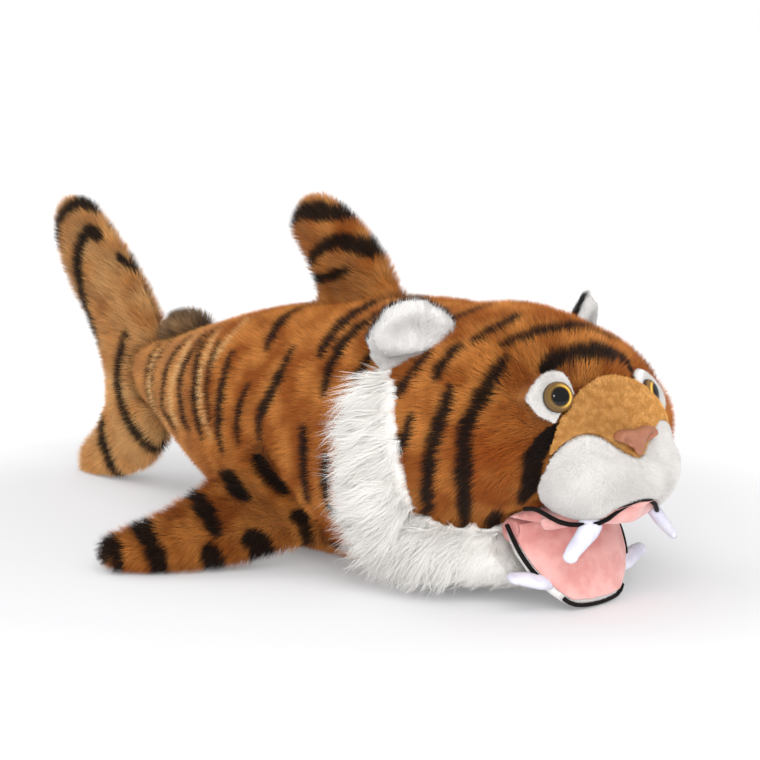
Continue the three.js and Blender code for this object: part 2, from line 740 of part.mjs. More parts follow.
function addNose() {
  const shape = outline(noseShares, noseWidth - 2 * noseBevel, noseHeight - 2 * noseBevel, 28);
  const depth = 2 * noseDepth;
  const plate = new THREE.ExtrudeGeometry(shape, {
    depth, bevelThickness: noseBevel, bevelSize: noseBevel, bevelSegments: 2,
  });
  plate.rotateX(Math.PI / 2).translate(0, noseFrontY + noseBevel + depth, noseZ);
  const front = solid(plate).subtract(bridgeForm(-seamGap).add(muzzleForm(-seamGap)));
  addSolid('nose', front.add(bar(noseSeat, backward, shankRadius, -noseBevel, noseShank)), vinyl);
  const washerFront = noseShank - washerThickness - 2 * seamGap;
  const washer = bar(noseSeat, backward, washerRadius, washerFront, washerFront + washerThickness);
  const bore = bar(noseSeat, backward, shankRadius + holePlay / 2, 0, 2 * noseShank);
  addSolid('nose_washer', washer.subtract(bore), washerPlastic);
}

const earFrame = frameBetween(
  point(-earOuterX, earOuterY, earOuterZ),
  point(-earInnerX, earInnerY, earInnerZ),
  point(...earRiseShares),
).multiply(new THREE.Matrix4().makeTranslation(0, 0, -earSunk));
const earForm = {
  span: earHeight + earSunk - earDome, chord: earWidth, thickness: earThickness, shares: earShares,
  dome: earDome, sides: 12,
};

function addEars() {
  const inside = {
    ...earForm, span: earForm.span - earLiningStart, chord: earWidth - 2 * earHem,
    thickness: 2 * earLining, dome: earDome - earHem,
  };
  const face = earFrame.clone().multiply(
    new THREE.Matrix4().makeTranslation(earThickness / 2, 0, earLiningStart),
  );
  const head = headForm(-seamGap);
  const back = flatForm(earFrame, earForm).subtract(flatForm(face, { ...inside, inset: -seamGap }));
  addPair('ear_back', back.subtract(head), plush);
  addPair('ear_lining', flatForm(face, inside).subtract(head), whitePlush);
}

const jawFall = degToRad(jawDroop);
const jawHinge = point(0, jawHingeY, jawHingeZ);
const jawFrame = frameAt(jawHinge, point(-1, 0, 0), point(0, -Math.cos(jawFall), -Math.sin(jawFall)));
const jawForm = {
  span: jawLength, chord: jawWidth, thickness: jawThickness, shares: jawShares, dome: jawDome,
  sides: 16,
};

// The rim of the jaw's upper face, on its right side, from the hinge to the tip.
function jawRim() {
  const turn = degToRad(jawRimTurn);
  return flatRows({ ...jawForm, between: 2, rootPast: jawRimPast }).map(
    (row) => point(row.thick * Math.sin(turn), row.half * Math.cos(turn), row.z).applyMatrix4(jawFrame),
  );
}

// The trim of the lower lip: two side runs behind the fangs, and one run round the tip.
function lowerLips(more) {
  const rim = jawRim();
  const side = piping(rim.slice(0, 7), lipRadius + more);
  const front = rim.slice(9);
  const across = front.map(({ x, y, z }) => point(-x, y, z)).reverse();
  return { sides: bothSides(side), front: piping([...front, ...across], lipRadius + more) };
}

// A fang of the right side, grown or shrunk by an inset.
function fang(place, chordShares, spanShares, inset) {
  return flatForm(frameAt(place, point(...chordShares), point(...spanShares)), {
    span: fangLength - fangDome, chord: fangWidth, thickness: fangThickness, shares: fangShares,
    dome: fangDome, inset, rootPast: fangRoot - inset, sides: 12,
  });
}
const upperFang = (inset) => fang(
  point(-upperFangX, upperFangY, upperFangZ), upperFangChordShares, upperFangSpanShares, inset,
);
const lowerFang = (inset) => fang(
  point(-lowerFangX, lowerFangY, lowerFangZ), lowerFangChordShares, lowerFangSpanShares, inset,
);

function addFangs() {
  addPair('upper_fang', upperFang(0).subtract(upperLip(seamGap)), satin);
  addPair('lower_fang', lowerFang(0), satin);
}

function addJaw() {
  const sockets = bothSides(lowerFang(-seamGap));
  const grooves = lowerLips(seamGap);
  const seats = [...sockets, ...grooves.sides, grooves.front];
  const pad = flatForm(jawFrame, jawForm).add(rootBar(jawFrame, jawBeadRadius, jawBeadLength));
  addSolid('lower_jaw', without(pad, seats), whitePlush);
  const top = seamGap + lining;
  const grown = (by) => flatForm(jawFrame, { ...jawForm, inset: -by }).add(
    rootBar(jawFrame, jawBeadRadius + by, jawBeadLength + 2 * seamGap),
  );
  const sheet = grown(top).subtract(grown(seamGap));
  const field = solid(block(
    point(0, -jawWidth, -jawBeadRadius / 2),
    point(jawWidth, jawWidth, 2 * jawLength),
  ).applyMatrix4(jawFrame));
  const within = flatForm(jawFrame, { ...jawForm, inset: lipRadius, thickness: 4 * jawThickness });
  addSolid('jaw_lining', without(sheet.intersect(field).intersect(within), seats), pinkCloth);
  const lips = lowerLips(0);
  addSolid('lower_lip', lips.front, blackCloth);
  addPair('lower_lip', lips.sides[0].subtract(sockets[0]), blackCloth);
}

// The trim of the upper lip, from one corner of the mouth along the muzzle's edge to the other.
function upperLip(more) {
  const half = upperLipShares.map(([x, y, z]) => (
    point(-x * muzzleWidth, muzzleBackY - y * muzzleLength, z * muzzleHeight)
  ));
  const across = half.slice(0, -1).map(({ x, y, z }) => point(-x, y, z)).reverse();
  return piping([...half, ...across], lipRadius + more);
}

function addPalate() {
  const vault = mouthForm(seamGap).subtract(mouthForm(seamGap + lining));
  const room = solid(block(
    point(-mouthWidth, mouthBackY - mouthLength, jawHingeZ),
    point(mouthWidth, liningStartY, headHeight),
  ));
  const face = headForm(0).add(bridgeForm(0)).add(muzzleForm(0));
  const sheet = vault.intersect(room).intersect(face);
  const seats = [...bothSides(upperFang(-seamGap)), upperLip(seamGap)];
  addSolid('palate_lining', without(sheet, seats), pinkCloth);
  addSolid('upper_lip', upperLip(0), blackCloth);
}

function addRuff() {
  const lowered = new THREE.Matrix4().makeTranslation(jawHinge.x, jawHinge.y, jawHinge.z);
  lowered.multiply(new THREE.Matrix4().makeRotationX(degToRad(jawDropMore)));
  lowered.multiply(new THREE.Matrix4().makeTranslation(-jawHinge.x, -jawHinge.y, -jawHinge.z));
  const jawRoom = solid(block(
    point(-jawThickness / 2 - seamGap, -2 * jawWidth, 0),
    point(4 * jawWidth, 2 * jawWidth, 4 * jawLength),
  ).applyMatrix4(lowered.multiply(jawFrame)));
  const groove = rootBar(jawFrame, jawBeadRadius + seamGap, jawBeadLength + 2 * seamGap);
  const swing = jawBeadRadius + lining + 2 * seamGap;
  const mouthRoom = solid(block(
    point(-throatWidth, 2 * bridgeBackY, jawHingeZ),
    point(throatWidth, jawHingeY + swing, headHeight),
  ));
  const head = headForm(-seamGap);
  addSolid('throat_ruff', without(throatForm(0), [head, jawRoom, groove, mouthRoom]), whitePlush);
  const ball = new THREE.SphereGeometry(1, 16, 12);
  ball.scale(crestThickness / 2, crestDepth / 2, crestHeight / 2).translate(-crestX, crestY, crestZ);
  const ear = flatForm(earFrame, { ...earForm, inset: -seamGap });
  const crest = without(solid(ball), [head, bodyForm(-seamGap), throatForm(-seamGap), ear]);
  addPair('ruff_crest', crest, whitePlush);
}

addTorsoAndTailCone();
addSwingingFins();
addTailFins();
addHead();
addEyes();
addEyePatches();
addSnout();
addNose();
addEars();
addJaw();
addFangs();
addPalate();
addRuff();
const box = new THREE.Box3().setFromObject(tiger);
tiger.position.y = -(box.min.y + box.max.y) / 2;

export default tiger;
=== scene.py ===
"""Dresses the stuffed plush tiger: skins, combed fur, face, ruff and mouth, with its studio.

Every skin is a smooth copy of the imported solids, and one Geometry Nodes tree plants the pile on
it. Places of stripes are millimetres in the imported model's frame, for the toy's right side, and
the left side mirrors them.
"""

import logging
import math
from abc import ABC, abstractmethod
from dataclasses import asdict, dataclass, field, fields, replace
from enum import Enum
from typing import Callable, Sequence

import bmesh
import bpy
import numpy as np
from bmesh.types import BMesh
from bpy.types import ID, Material, Mesh, Node, NodeSocket, NodeTree, Object
from mathutils import Matrix, Vector, noise
from mathutils.bvhtree import BVHTree


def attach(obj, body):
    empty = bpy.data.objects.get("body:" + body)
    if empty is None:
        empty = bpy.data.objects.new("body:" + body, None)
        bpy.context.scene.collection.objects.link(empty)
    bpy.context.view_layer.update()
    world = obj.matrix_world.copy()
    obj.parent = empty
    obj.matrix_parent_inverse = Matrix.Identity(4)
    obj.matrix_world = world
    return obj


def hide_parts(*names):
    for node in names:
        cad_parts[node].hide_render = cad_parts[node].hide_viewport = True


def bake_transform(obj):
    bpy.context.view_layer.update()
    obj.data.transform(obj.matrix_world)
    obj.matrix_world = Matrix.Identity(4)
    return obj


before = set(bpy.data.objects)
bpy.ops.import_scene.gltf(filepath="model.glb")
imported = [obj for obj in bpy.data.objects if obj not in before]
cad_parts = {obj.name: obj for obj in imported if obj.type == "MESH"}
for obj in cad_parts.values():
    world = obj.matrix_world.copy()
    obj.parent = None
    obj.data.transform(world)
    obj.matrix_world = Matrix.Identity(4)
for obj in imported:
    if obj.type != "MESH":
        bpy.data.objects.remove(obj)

LOG = logging.getLogger("plush_tiger")
MM = 0.001
BAKE_MAP = "OFBake"
SIDES = (("right", -1), ("left", 1))
Place = tuple[float, float, float]
Span = tuple[float, float]
Array = np.ndarray
Flow = Callable[[Array, Array], Array]


def mm(*values: float) -> tuple[float, ...]:
    """Turns millimetres into metres."""
    return tuple(value * MM for value in values)


def paint(red: int, green: int, blue: int) -> tuple[float, ...]:
    """Turns a colour as it is seen, 0 to 255, into the linear colour that a shader takes."""
    seen = (channel / 255 for channel in (red, green, blue))
    return (*(((c + 0.055) / 1.055) ** 2.4 if c > 0.04045 else c / 12.92 for c in seen), 1.0)


def unit(vectors: Array) -> Array:
    """Scales vectors to a length of 1."""
    return vectors / np.maximum(np.linalg.norm(vectors, axis=-1, keepdims=True), 1e-9)


def smoothstep(values: Array, low: float, high: float) -> Array:
    """Rises smoothly from 0 at low to 1 at high."""
    share = np.clip((values - low) / (high - low), 0, 1)
    return share * share * (3 - 2 * share)


def wobble(places: Array, size: float, seed: float) -> Array:
    """Samples soft noise between about -1 and 1, in blotches of a size, which the seed moves."""
    return np.array([noise.noise(Vector(place) / size + Vector((seed, seed, seed))) for place in places])


def steady(*direction: float) -> Flow:
    """Returns the flow of a fur that is brushed one way all over."""
    return lambda spots, normals: np.tile(direction, (len(spots), 1))


class Graph:
    """A shader or geometry tree, and the one way in which nodes are made in it."""

    def __init__(self, tree: NodeTree) -> None:
        """Starts with the tree that the nodes go into."""
        self.tree = tree

    @classmethod
    def emptied(cls, owner: ID) -> "Graph":
        """Empties the tree of a material or a world.

        Args:
            owner: The material or world.

        Returns:
            Its graph.
        """
        owner.use_nodes = True
        owner.node_tree.nodes.clear()
        return cls(owner.node_tree)

    def node(self, kind: str, settings: dict | None = None, inputs: dict | None = None) -> Node:
        """Makes a node.

        Args:
            kind: The node's type.
            settings: Properties of the node, and a ramp's "stops" as (place, colour) pairs.
            inputs: Values or signals, by the socket's name or number.

        Returns:
            The new node.
        """
        made = self.tree.nodes.new(kind)
        for name, value in (settings or {}).items():
            if name == "stops":
                self._set_stops(made.color_ramp, value)
            else:
                setattr(made, name, value)
        for key, value in (inputs or {}).items():
            if isinstance(value, Signal):
                self.tree.links.new(value.socket, made.inputs[key])
            else:
                made.inputs[key].default_value = value
        return made

    def _set_stops(self, ramp: bpy.types.ColorRamp, stops: Sequence[tuple]) -> None:
        """Gives a ramp its stops.

        Args:
            ramp: The ramp.
            stops: Its (place, colour) pairs.
        """
        while len(ramp.elements) < len(stops):
            ramp.elements.new(0.5)
        for element, (place, colour) in zip(ramp.elements, stops):
            element.position = place
            element.color = colour

    def signal(self, kind: str, settings: dict | None = None, inputs: dict | None = None,
               output: int | str = 0) -> "Signal":
        """Makes a node and returns one of its outputs as a signal."""
        return Signal(self, self.node(kind, settings, inputs).outputs[output])

    def attribute(self, name: str, output: str = "Fac") -> "Signal":
        """Reads an attribute of the mesh in a shader."""
        return self.signal("ShaderNodeAttribute", {"attribute_name": name}, output=output)

    def mix(self, factor: object, low: object, high: object) -> "Signal":
        """Mixes two colours."""
        return self.signal("ShaderNodeMix", {"data_type": "RGBA"}, {0: factor, 6: low, 7: high}, output=2)

    def noise(self, place: "Signal", size: object, detail: float = 2.0, output: int | str = 0) -> "Signal":
        """Makes soft noise in blotches of a size."""
        inputs = {"Vector": place, "Scale": 1.0 / size, "Detail": detail}
        return self.signal("ShaderNodeTexNoise", inputs=inputs, output=output)

    def bump(self, height: "Signal", strength: float, distance: float) -> "Signal":
        """Turns a height into a normal."""
        return self.signal(
            "ShaderNodeBump", inputs={"Strength": strength, "Distance": distance, "Height": height})

    def vector(self, *parts: object) -> "Signal":
        """Makes a vector from its three parts."""
        return self.signal("ShaderNodeCombineXYZ", inputs=dict(enumerate(parts)))

    def position(self) -> "Signal":
        """Reads the places of the geometry's points."""
        return self.signal("GeometryNodeInputPosition")


def operator(operation: str, swapped: bool = False) -> Callable[["Signal", object], "Signal"]:
    """Makes the method of one operator, with the signal on its right where it is swapped."""
    return lambda signal, other: signal.join(operation, *((other, signal) if swapped else (signal, other)))


@dataclass(frozen=True)
class Signal:
    """An output socket that can be used in sums, so that shader maths reads as an expression."""

    graph: Graph
    socket: NodeSocket

    __add__, __radd__ = operator("ADD"), operator("ADD", True)
    __sub__, __rsub__ = operator("SUBTRACT"), operator("SUBTRACT", True)
    __mul__, __rmul__ = operator("MULTIPLY"), operator("MULTIPLY", True)
    __truediv__, __rtruediv__ = operator("DIVIDE"), operator("DIVIDE", True)
    __pow__ = operator("POWER")
    at_least = operator("MAXIMUM")

    def join(self, operation: str, left: object, right: object) -> "Signal":
        """Adds the maths node for one operation.

        Args:
            operation: The operation, as the node names it.
            left: The first number or signal.
            right: The second.

        Returns:
            The result, a vector where one of the two is.
        """
        sides = (left, right)
        wide = [isinstance(side, Signal) and side.socket.type in {"VECTOR", "RGBA"} for side in sides]
        if not any(wide):
            return self.graph.signal("ShaderNodeMath", {"operation": operation}, {0: left, 1: right})
        if operation == "MULTIPLY" and not all(wide):
            vector, number = sides if wide[0] else sides[::-1]
            inputs = {0: vector, "Scale": number}
            return self.graph.signal("ShaderNodeVectorMath", {"operation": "SCALE"}, inputs)
        inputs = {i: side if isinstance(side, Signal) else (side,) * 3 for i, side in enumerate(sides)}
        return self.graph.signal("ShaderNodeVectorMath", {"operation": operation}, inputs)

    def normalised(self) -> "Signal":
        """Scales a vector to a length of 1."""
        return self.graph.signal("ShaderNodeVectorMath", {"operation": "NORMALIZE"}, {0: self})

    def parts(self) -> list["Signal"]:
        """Splits a vector into its three numbers."""
        node = self.graph.node("ShaderNodeSeparateXYZ", inputs={0: self})
        return [Signal(self.graph, output) for output in node.outputs]

    def ramp(self, stops: Sequence[tuple]) -> "Signal":
        """Turns a number into a colour."""
        return self.graph.signal("ShaderNodeValToRGB", {"stops": stops}, {0: self})

    def step(self, low: float, high: float) -> "Signal":
        """Rises smoothly from 0 at low to 1 at high."""
        return self.graph.signal(
            "ShaderNodeMapRange", {"interpolation_type": "SMOOTHSTEP"}, {0: self, 1: low, 2: high})


class Finish(ABC):
    """A finish that one Principled shader shows."""

    name: str

    @abstractmethod
    def inputs(self, graph: Graph) -> dict[str, object]:
        """Works out the shader's inputs by their names."""

    def material(self) -> Material:
        """Builds the finish.

        Returns:
            The new material.
        """
        material = bpy.data.materials.new(self.name)
        graph = Graph.emptied(material)
        shader = graph.signal("ShaderNodeBsdfPrincipled", inputs=self.inputs(graph))
        graph.node("ShaderNodeOutputMaterial", inputs={0: shader})
        return material


class Coat(Enum):
    """How the colours of a fur are spread."""

    STRIPED = "striped"
    PLAIN = "plain"


@dataclass(frozen=True)
class FurFinish(Finish):
    """The dyes of a fur: two coat colours, stripes, a pale part, and painted shade along a strand."""

    name: str
    coat: Coat
    deep: tuple
    light: tuple
    stripe: tuple = paint(17, 11, 8)
    pale: tuple = paint(236, 196, 134)
    rust: tuple = paint(160, 80, 22)
    root_shade: float = 0.5
    tip_gain: float = 1.2
    tone_spread: float = 0.4
    blotch: float = 22 * MM
    blotch_edge: Span = (0.36, 0.66)
    ragging: float = 4 * MM
    stripe_edge: Span = (0.28, 0.66)
    roughness: float = 0.62
    specular: float = 0.3
    sheen: float = 0.04
    sheen_roughness: float = 0.45

    def inputs(self, graph: Graph) -> dict[str, object]:
        """Dyes each strand by its own root and tone, and paints shade along it.

        Args:
            graph: The material's graph.

        Returns:
            The shader's inputs.
        """
        root = graph.attribute("root", "Vector")
        along = graph.attribute("along")
        tone = graph.attribute("tone")
        blotches = graph.noise(root, self.blotch, 3.0)
        colour = graph.mix(blotches.step(*self.blotch_edge), self.deep, self.light)
        if self.coat is Coat.STRIPED:
            colour = graph.mix(graph.attribute("pale"), colour, self.pale)
            colour = graph.mix(graph.attribute("rust"), colour, self.rust)
            fine = graph.noise(root, self.ragging)
            ragged = graph.attribute("stripe") + (fine - 0.5) * 0.5 + (tone - 0.5) * 0.3
            tipped = graph.mix(along * 0.05, self.stripe, colour)
            colour = graph.mix(ragged.step(*self.stripe_edge), colour, tipped)
        # painted shade: each strand is darker at its root, where shade falls among the strands, and lighter
        # at its tip, partly the fur's own pale tips and partly painted light
        painted_shade_and_tone = self.root_shade + (self.tip_gain - self.root_shade) * along ** 0.7
        painted_shade_and_tone = painted_shade_and_tone * (1 - self.tone_spread / 2 + tone * self.tone_spread)
        return {
            "Base Color": colour * painted_shade_and_tone, "Roughness": self.roughness, "Specular IOR Level": self.specular,
            "Sheen Weight": self.sheen, "Sheen Roughness": self.sheen_roughness,
        }


@dataclass(frozen=True)
class ClothFinish(Finish):
    """A smooth cloth: its two dyes, nap and weave."""

    name: str
    deep: tuple
    light: tuple
    blotch: float = 14 * MM
    grain: float = 0.7 * MM
    grain_height: float = 0.25
    roughness: float = 0.8
    sheen: float = 0.5
    specular: float = 0.3

    def inputs(self, graph: Graph) -> dict[str, object]:
        """Dyes the cloth with soft blotches and gives it a fine grain.

        Args:
            graph: The material's graph.

        Returns:
            The shader's inputs.
        """
        place = graph.signal("ShaderNodeTexCoord", output="Object")
        grain = graph.noise(place, self.grain)
        colour = graph.mix(graph.noise(place, self.blotch, 4.0).step(0.35, 0.65), self.deep, self.light)
        return {
            "Base Color": colour * (0.86 + grain * 0.28), "Roughness": self.roughness,
            "Normal": graph.bump(grain, self.grain_height, self.grain),
            "Sheen Weight": self.sheen, "Specular IOR Level": self.specular,
        }


@dataclass(frozen=True)
class MouldedFinish(Finish):
    """A moulded vinyl, with faint unevenness."""

    name: str
    deep: tuple
    light: tuple
    roughness: float
    cloud: float = 6 * MM
    grain: float = 0.5 * MM

    def inputs(self, graph: Graph) -> dict[str, object]:
        """Dyes the vinyl with soft clouds.

        Args:
            graph: The material's graph.

        Returns:
            The shader's inputs.
        """
        place = graph.signal("ShaderNodeTexCoord", output="Object")
        return {
            "Base Color": graph.mix(graph.noise(place, self.cloud), self.deep, self.light),
            "Normal": graph.bump(graph.noise(place, self.grain), 0.12, 0.1 * MM),
            "Roughness": self.roughness,
        }


@dataclass(frozen=True)
class EyeFinish(Finish):
    """A safety eye's pupil, amber iris and dark rim, as rings with painted light: a lit copy on the side
    where light falls in, and a shaded copy elsewhere.
    """

    name: str = "amber_safety_eye"
    bright: tuple = (
        (0.0, paint(10, 8, 8)), (0.53, paint(12, 9, 8)), (0.59, paint(92, 58, 16)),
        (0.67, paint(228, 176, 58)), (0.74, paint(240, 200, 92)), (0.8, paint(142, 102, 50)),
        (0.93, paint(124, 92, 50)), (1.0, paint(52, 36, 22)),
    )
    shaded: tuple = (
        (0.0, paint(10, 8, 8)), (0.53, paint(12, 9, 8)), (0.6, paint(56, 38, 16)),
        (0.68, paint(112, 84, 38)), (0.75, paint(116, 88, 42)), (0.82, paint(98, 74, 40)),
        (0.93, paint(112, 86, 50)), (1.0, paint(46, 32, 20)),
    )

    def inputs(self, graph: Graph) -> dict[str, object]:
        """Lays the rings by the distance from the eye's axis, and mixes their lit and shaded copies as
        painted light.

        Args:
            graph: The material's graph.

        Returns:
            The shader's inputs.
        """
        off_axis = graph.attribute("off_axis")
        # painted light: the lit rings on the side where light falls in, the shaded rings on the other side
        colour = graph.mix(graph.attribute("glow"), off_axis.ramp(self.shaded), off_axis.ramp(self.bright))
        return {"Base Color": colour, "Roughness": 0.1, "Specular IOR Level": 0.4}


def made(finish: Finish) -> Material:
    """Declares a dye, which is made when the dyes are."""
    return field(default_factory=finish.material)


@dataclass(frozen=True)
class Dyes:
    """The finished materials, made once and shared."""

    striped: Material = made(FurFinish(
        "striped_fur", Coat.STRIPED, paint(156, 84, 27), paint(202, 132, 62), tone_spread=0.5, tip_gain=1.28))
    dark: Material = made(FurFinish(
        "dark_fur", Coat.PLAIN, paint(64, 50, 38), paint(138, 108, 74), tip_gain=2.1))
    ruff: Material = made(FurFinish(
        "white_ruff", Coat.PLAIN, paint(236, 233, 229), paint(246, 244, 240), root_shade=0.94,
        tip_gain=1.0, tone_spread=0.04, roughness=0.6))
    white: Material = made(FurFinish(
        "white_plush", Coat.PLAIN, paint(219, 216, 213), paint(231, 228, 225), root_shade=0.9,
        tip_gain=1.0, tone_spread=0.08))
    jaw: Material = made(FurFinish(
        "jaw_plush", Coat.STRIPED, paint(240, 238, 235), paint(249, 248, 246), pale=paint(232, 168, 162),
        root_shade=0.92, tip_gain=1.0, tone_spread=0.08))
    tan: Material = made(FurFinish(
        "tan_plush", Coat.PLAIN, paint(208, 148, 76), paint(232, 176, 102), root_shade=0.6, blotch=5 * MM))
    ear: Material = made(FurFinish(
        "ear_plush", Coat.STRIPED, paint(230, 228, 226), paint(240, 238, 236), root_shade=0.85,
        tip_gain=1.0, tone_spread=0.1))
    pink: Material = made(ClothFinish("pink_lining", paint(218, 150, 144), paint(232, 176, 170)))
    trim: Material = made(ClothFinish(
        "black_piping", paint(13, 10, 9), paint(24, 20, 18), sheen=0.03, specular=0.2))
    satin: Material = made(ClothFinish(
        "fang_satin", paint(204, 203, 219), paint(221, 221, 233), grain_height=0.1, roughness=0.42,
        sheen=0.1, specular=0.5))
    vinyl: Material = made(MouldedFinish(
        "nose_vinyl", paint(146, 92, 66), paint(172, 114, 86), roughness=0.38))
    eye: Material = made(EyeFinish())


@dataclass(frozen=True)
class Pile:
    """How a fur is cut and combed. Each field is an input of the tree that plants it."""

    length: float
    width: float
    density: float
    lift: float = 0.75
    droop: float = 0.3
    stray: float = 0.5
    tuft: float = 7 * MM
    tuft_pull: float = 0.9
    wave: float = 0.0
    joints: int = 2


SHORT_PILE = Pile(
    length=1.7 * MM, width=0.34 * MM, density=3.6e6, lift=1.3, droop=0.0, stray=0.9,
    tuft=2.2 * MM, tuft_pull=0.45, joints=1,
)
SHORT_SINK = 0.5 * MM
LONG_PILE = Pile(
    length=10 * MM, width=0.46 * MM, density=2.1e6, lift=1.15, droop=0.0, stray=0.75,
    tuft=5 * MM, tuft_pull=0.8, joints=1,
)
LONG_SINK = 5.5 * MM
EAR_PILE = Pile(length=8 * MM, width=0.4 * MM, density=2.4e6, lift=0.7)


class FurTree:
    """The Geometry Nodes tree that plants a combed pile on a skin."""

    GROUND = 0.4 * MM
    MAP_STEP = 0.0012
    BARE = 0.04
    LENGTHS = (0.72, 1.12)
    WIDTHS = (0.7, 1.2)
    NARROWING = 0.55
    TWIST = 0.8
    FALL = 0.6
    WAVES = 0.8

    def __init__(self) -> None:
        """Builds the tree with its named inputs."""
        self.tree = bpy.data.node_groups.new("combed_pile", "GeometryNodeTree")
        face = self.tree.interface
        kinds = {"Skin": "Geometry"}
        kinds |= {self._title(item.name): "Int" if item.type is int else "Float" for item in fields(Pile)}
        kinds |= {"Seed": "Int", "Dye": "Material"}
        for name, kind in kinds.items():
            face.new_socket(name, in_out="INPUT", socket_type=f"NodeSocket{kind}")
        face.new_socket("Fur", in_out="OUTPUT", socket_type="NodeSocketGeometry")
        self.identifiers = {
            item.name: item.identifier for item in face.items_tree if item.in_out == "INPUT"}
        self.graph = Graph(self.tree)
        self.given = self.graph.node("NodeGroupInput")
        self._build()

    @staticmethod
    def _title(name: str) -> str:
        """Turns the name of a pile's field into an input's name."""
        return name.replace("_", " ").title()

    def _input(self, name: str) -> Signal:
        """Reads one of the tree's inputs."""
        return Signal(self.graph, self.given.outputs[name])

    def _number(self, name: str, kind: str = "FLOAT") -> Signal:
        """Reads an attribute of the geometry."""
        return self.graph.signal("GeometryNodeInputNamedAttribute", {"data_type": kind}, {"Name": name})

    def _vector(self, name: str) -> Signal:
        """Reads an attribute that holds vectors."""
        return self._number(name, "FLOAT_VECTOR")

    def _store(self, geometry: Signal, kind: str, values: dict[str, object], domain: str = "POINT") -> Signal:
        """Keeps values on the geometry.

        Args:
            geometry: The geometry.
            kind: The values' type.
            values: The values by their attributes' names.
            domain: What each value belongs to.

        Returns:
            The geometry with its new attributes.
        """
        for name, value in values.items():
            geometry = self.graph.signal(
                "GeometryNodeStoreNamedAttribute", {"data_type": kind, "domain": domain},
                {"Geometry": geometry, "Name": name, "Value": value})
        return geometry

    def _random(self, low: float, high: float, seed: int) -> Signal:
        """Draws a number for each strand."""
        return self.graph.signal(
            "FunctionNodeRandomValue", {"data_type": "FLOAT"},
            {2: low, 3: high, "Seed": self._input("Seed") + seed}, output=1)

    def _random_vector(self, seed: int) -> Signal:
        """Draws a vector for each strand, between -0.5 and 0.5 each way."""
        return self.graph.signal(
            "FunctionNodeRandomValue", {"data_type": "FLOAT_VECTOR"},
            {0: (-0.5,) * 3, 1: (0.5,) * 3, "Seed": self._input("Seed") + seed})

    def _blade(self) -> Signal:
        """Makes one strand, 1 wide and 1 long, that narrows to its tip.

        Returns:
            Its mesh.
        """
        graph = self.graph
        grid = graph.signal("GeometryNodeMeshGrid", inputs={
            "Size X": 1.0, "Size Y": 1.0, "Vertices X": 2, "Vertices Y": self._input("Joints") + 1})
        across, along, _ = graph.position().parts()
        grid = self._store(grid, "FLOAT", {"along": along + 0.5, "across": across})
        kept = self._number("along")
        tall = graph.vector(
            self._number("across") * (1 - kept).at_least(0.0) ** self.NARROWING, 0.0, kept)
        blade = graph.signal("GeometryNodeSetPosition", inputs={"Geometry": grid, "Position": tall})
        return graph.signal("GeometryNodeMergeByDistance", inputs={"Geometry": blade, "Distance": 0.0001})

    def _build(self) -> None:
        """Lays out the tree: points, blades on them, bend, map and finish."""
        skin = self._input("Skin")
        strands = self._bent(self._planted(skin))
        under = self._store(skin, "FLOAT_VECTOR", {
            "root": self.graph.position(), "root_normal": self.graph.signal("GeometryNodeInputNormal")})
        under = self._store(under, "FLOAT", {"tone": 0.5})
        join = self.graph.node("GeometryNodeJoinGeometry")
        for part in (under, strands):
            self.tree.links.new(part.socket, join.inputs[0])
        dyed = self.graph.signal("GeometryNodeSetMaterial", inputs={
            "Geometry": Signal(self.graph, join.outputs[0]), "Material": self._input("Dye")})
        self.graph.node("NodeGroupOutput", inputs={0: dyed})

    def _planted(self, skin: Signal) -> Signal:
        """Plants straight strands that lean the way the fur is combed.

        Args:
            skin: The skin.

        Returns:
            The strands' mesh.
        """
        graph = self.graph
        spread = graph.node("GeometryNodeDistributePointsOnFaces", inputs={
            "Mesh": skin, "Density": self._input("Density"), "Seed": self._input("Seed"),
            "Selection": self._number("pile") - self.BARE})
        place = graph.position()
        points = self._store(Signal(graph, spread.outputs["Points"]), "FLOAT_VECTOR", {
            "root": place, "root_normal": Signal(graph, spread.outputs["Normal"])})
        reach = self._input("Length") * self._number("pile") * self._random(*self.LENGTHS, 2)
        points = self._store(points, "FLOAT", {"tone": self._random(0.0, 1.0, 1), "reach": reach})
        tufts = graph.noise(place, self._input("Tuft"), 1.0, "Color")
        upright = self._vector("root_normal")
        lean = self._vector("comb") + upright * self._input("Lift")
        lean = lean + self._random_vector(3) * self._input("Stray") + (tufts - 0.5) * self._input("Tuft Pull")
        turn = graph.signal("FunctionNodeAlignRotationToVector", {"axis": "Z"}, {"Vector": lean.normalised()})
        turn = graph.signal(
            "FunctionNodeAlignRotationToVector", {"axis": "Y", "pivot_axis": "Z"},
            {"Rotation": turn, "Vector": upright + self._random_vector(4) * self.TWIST})
        size = graph.vector(self._input("Width") * self._random(*self.WIDTHS, 5), 1.0, self._number("reach"))
        planted = graph.signal("GeometryNodeInstanceOnPoints", inputs={
            "Points": points, "Instance": self._blade(), "Rotation": turn, "Scale": size})
        return graph.signal("GeometryNodeRealizeInstances", inputs={"Geometry": planted})

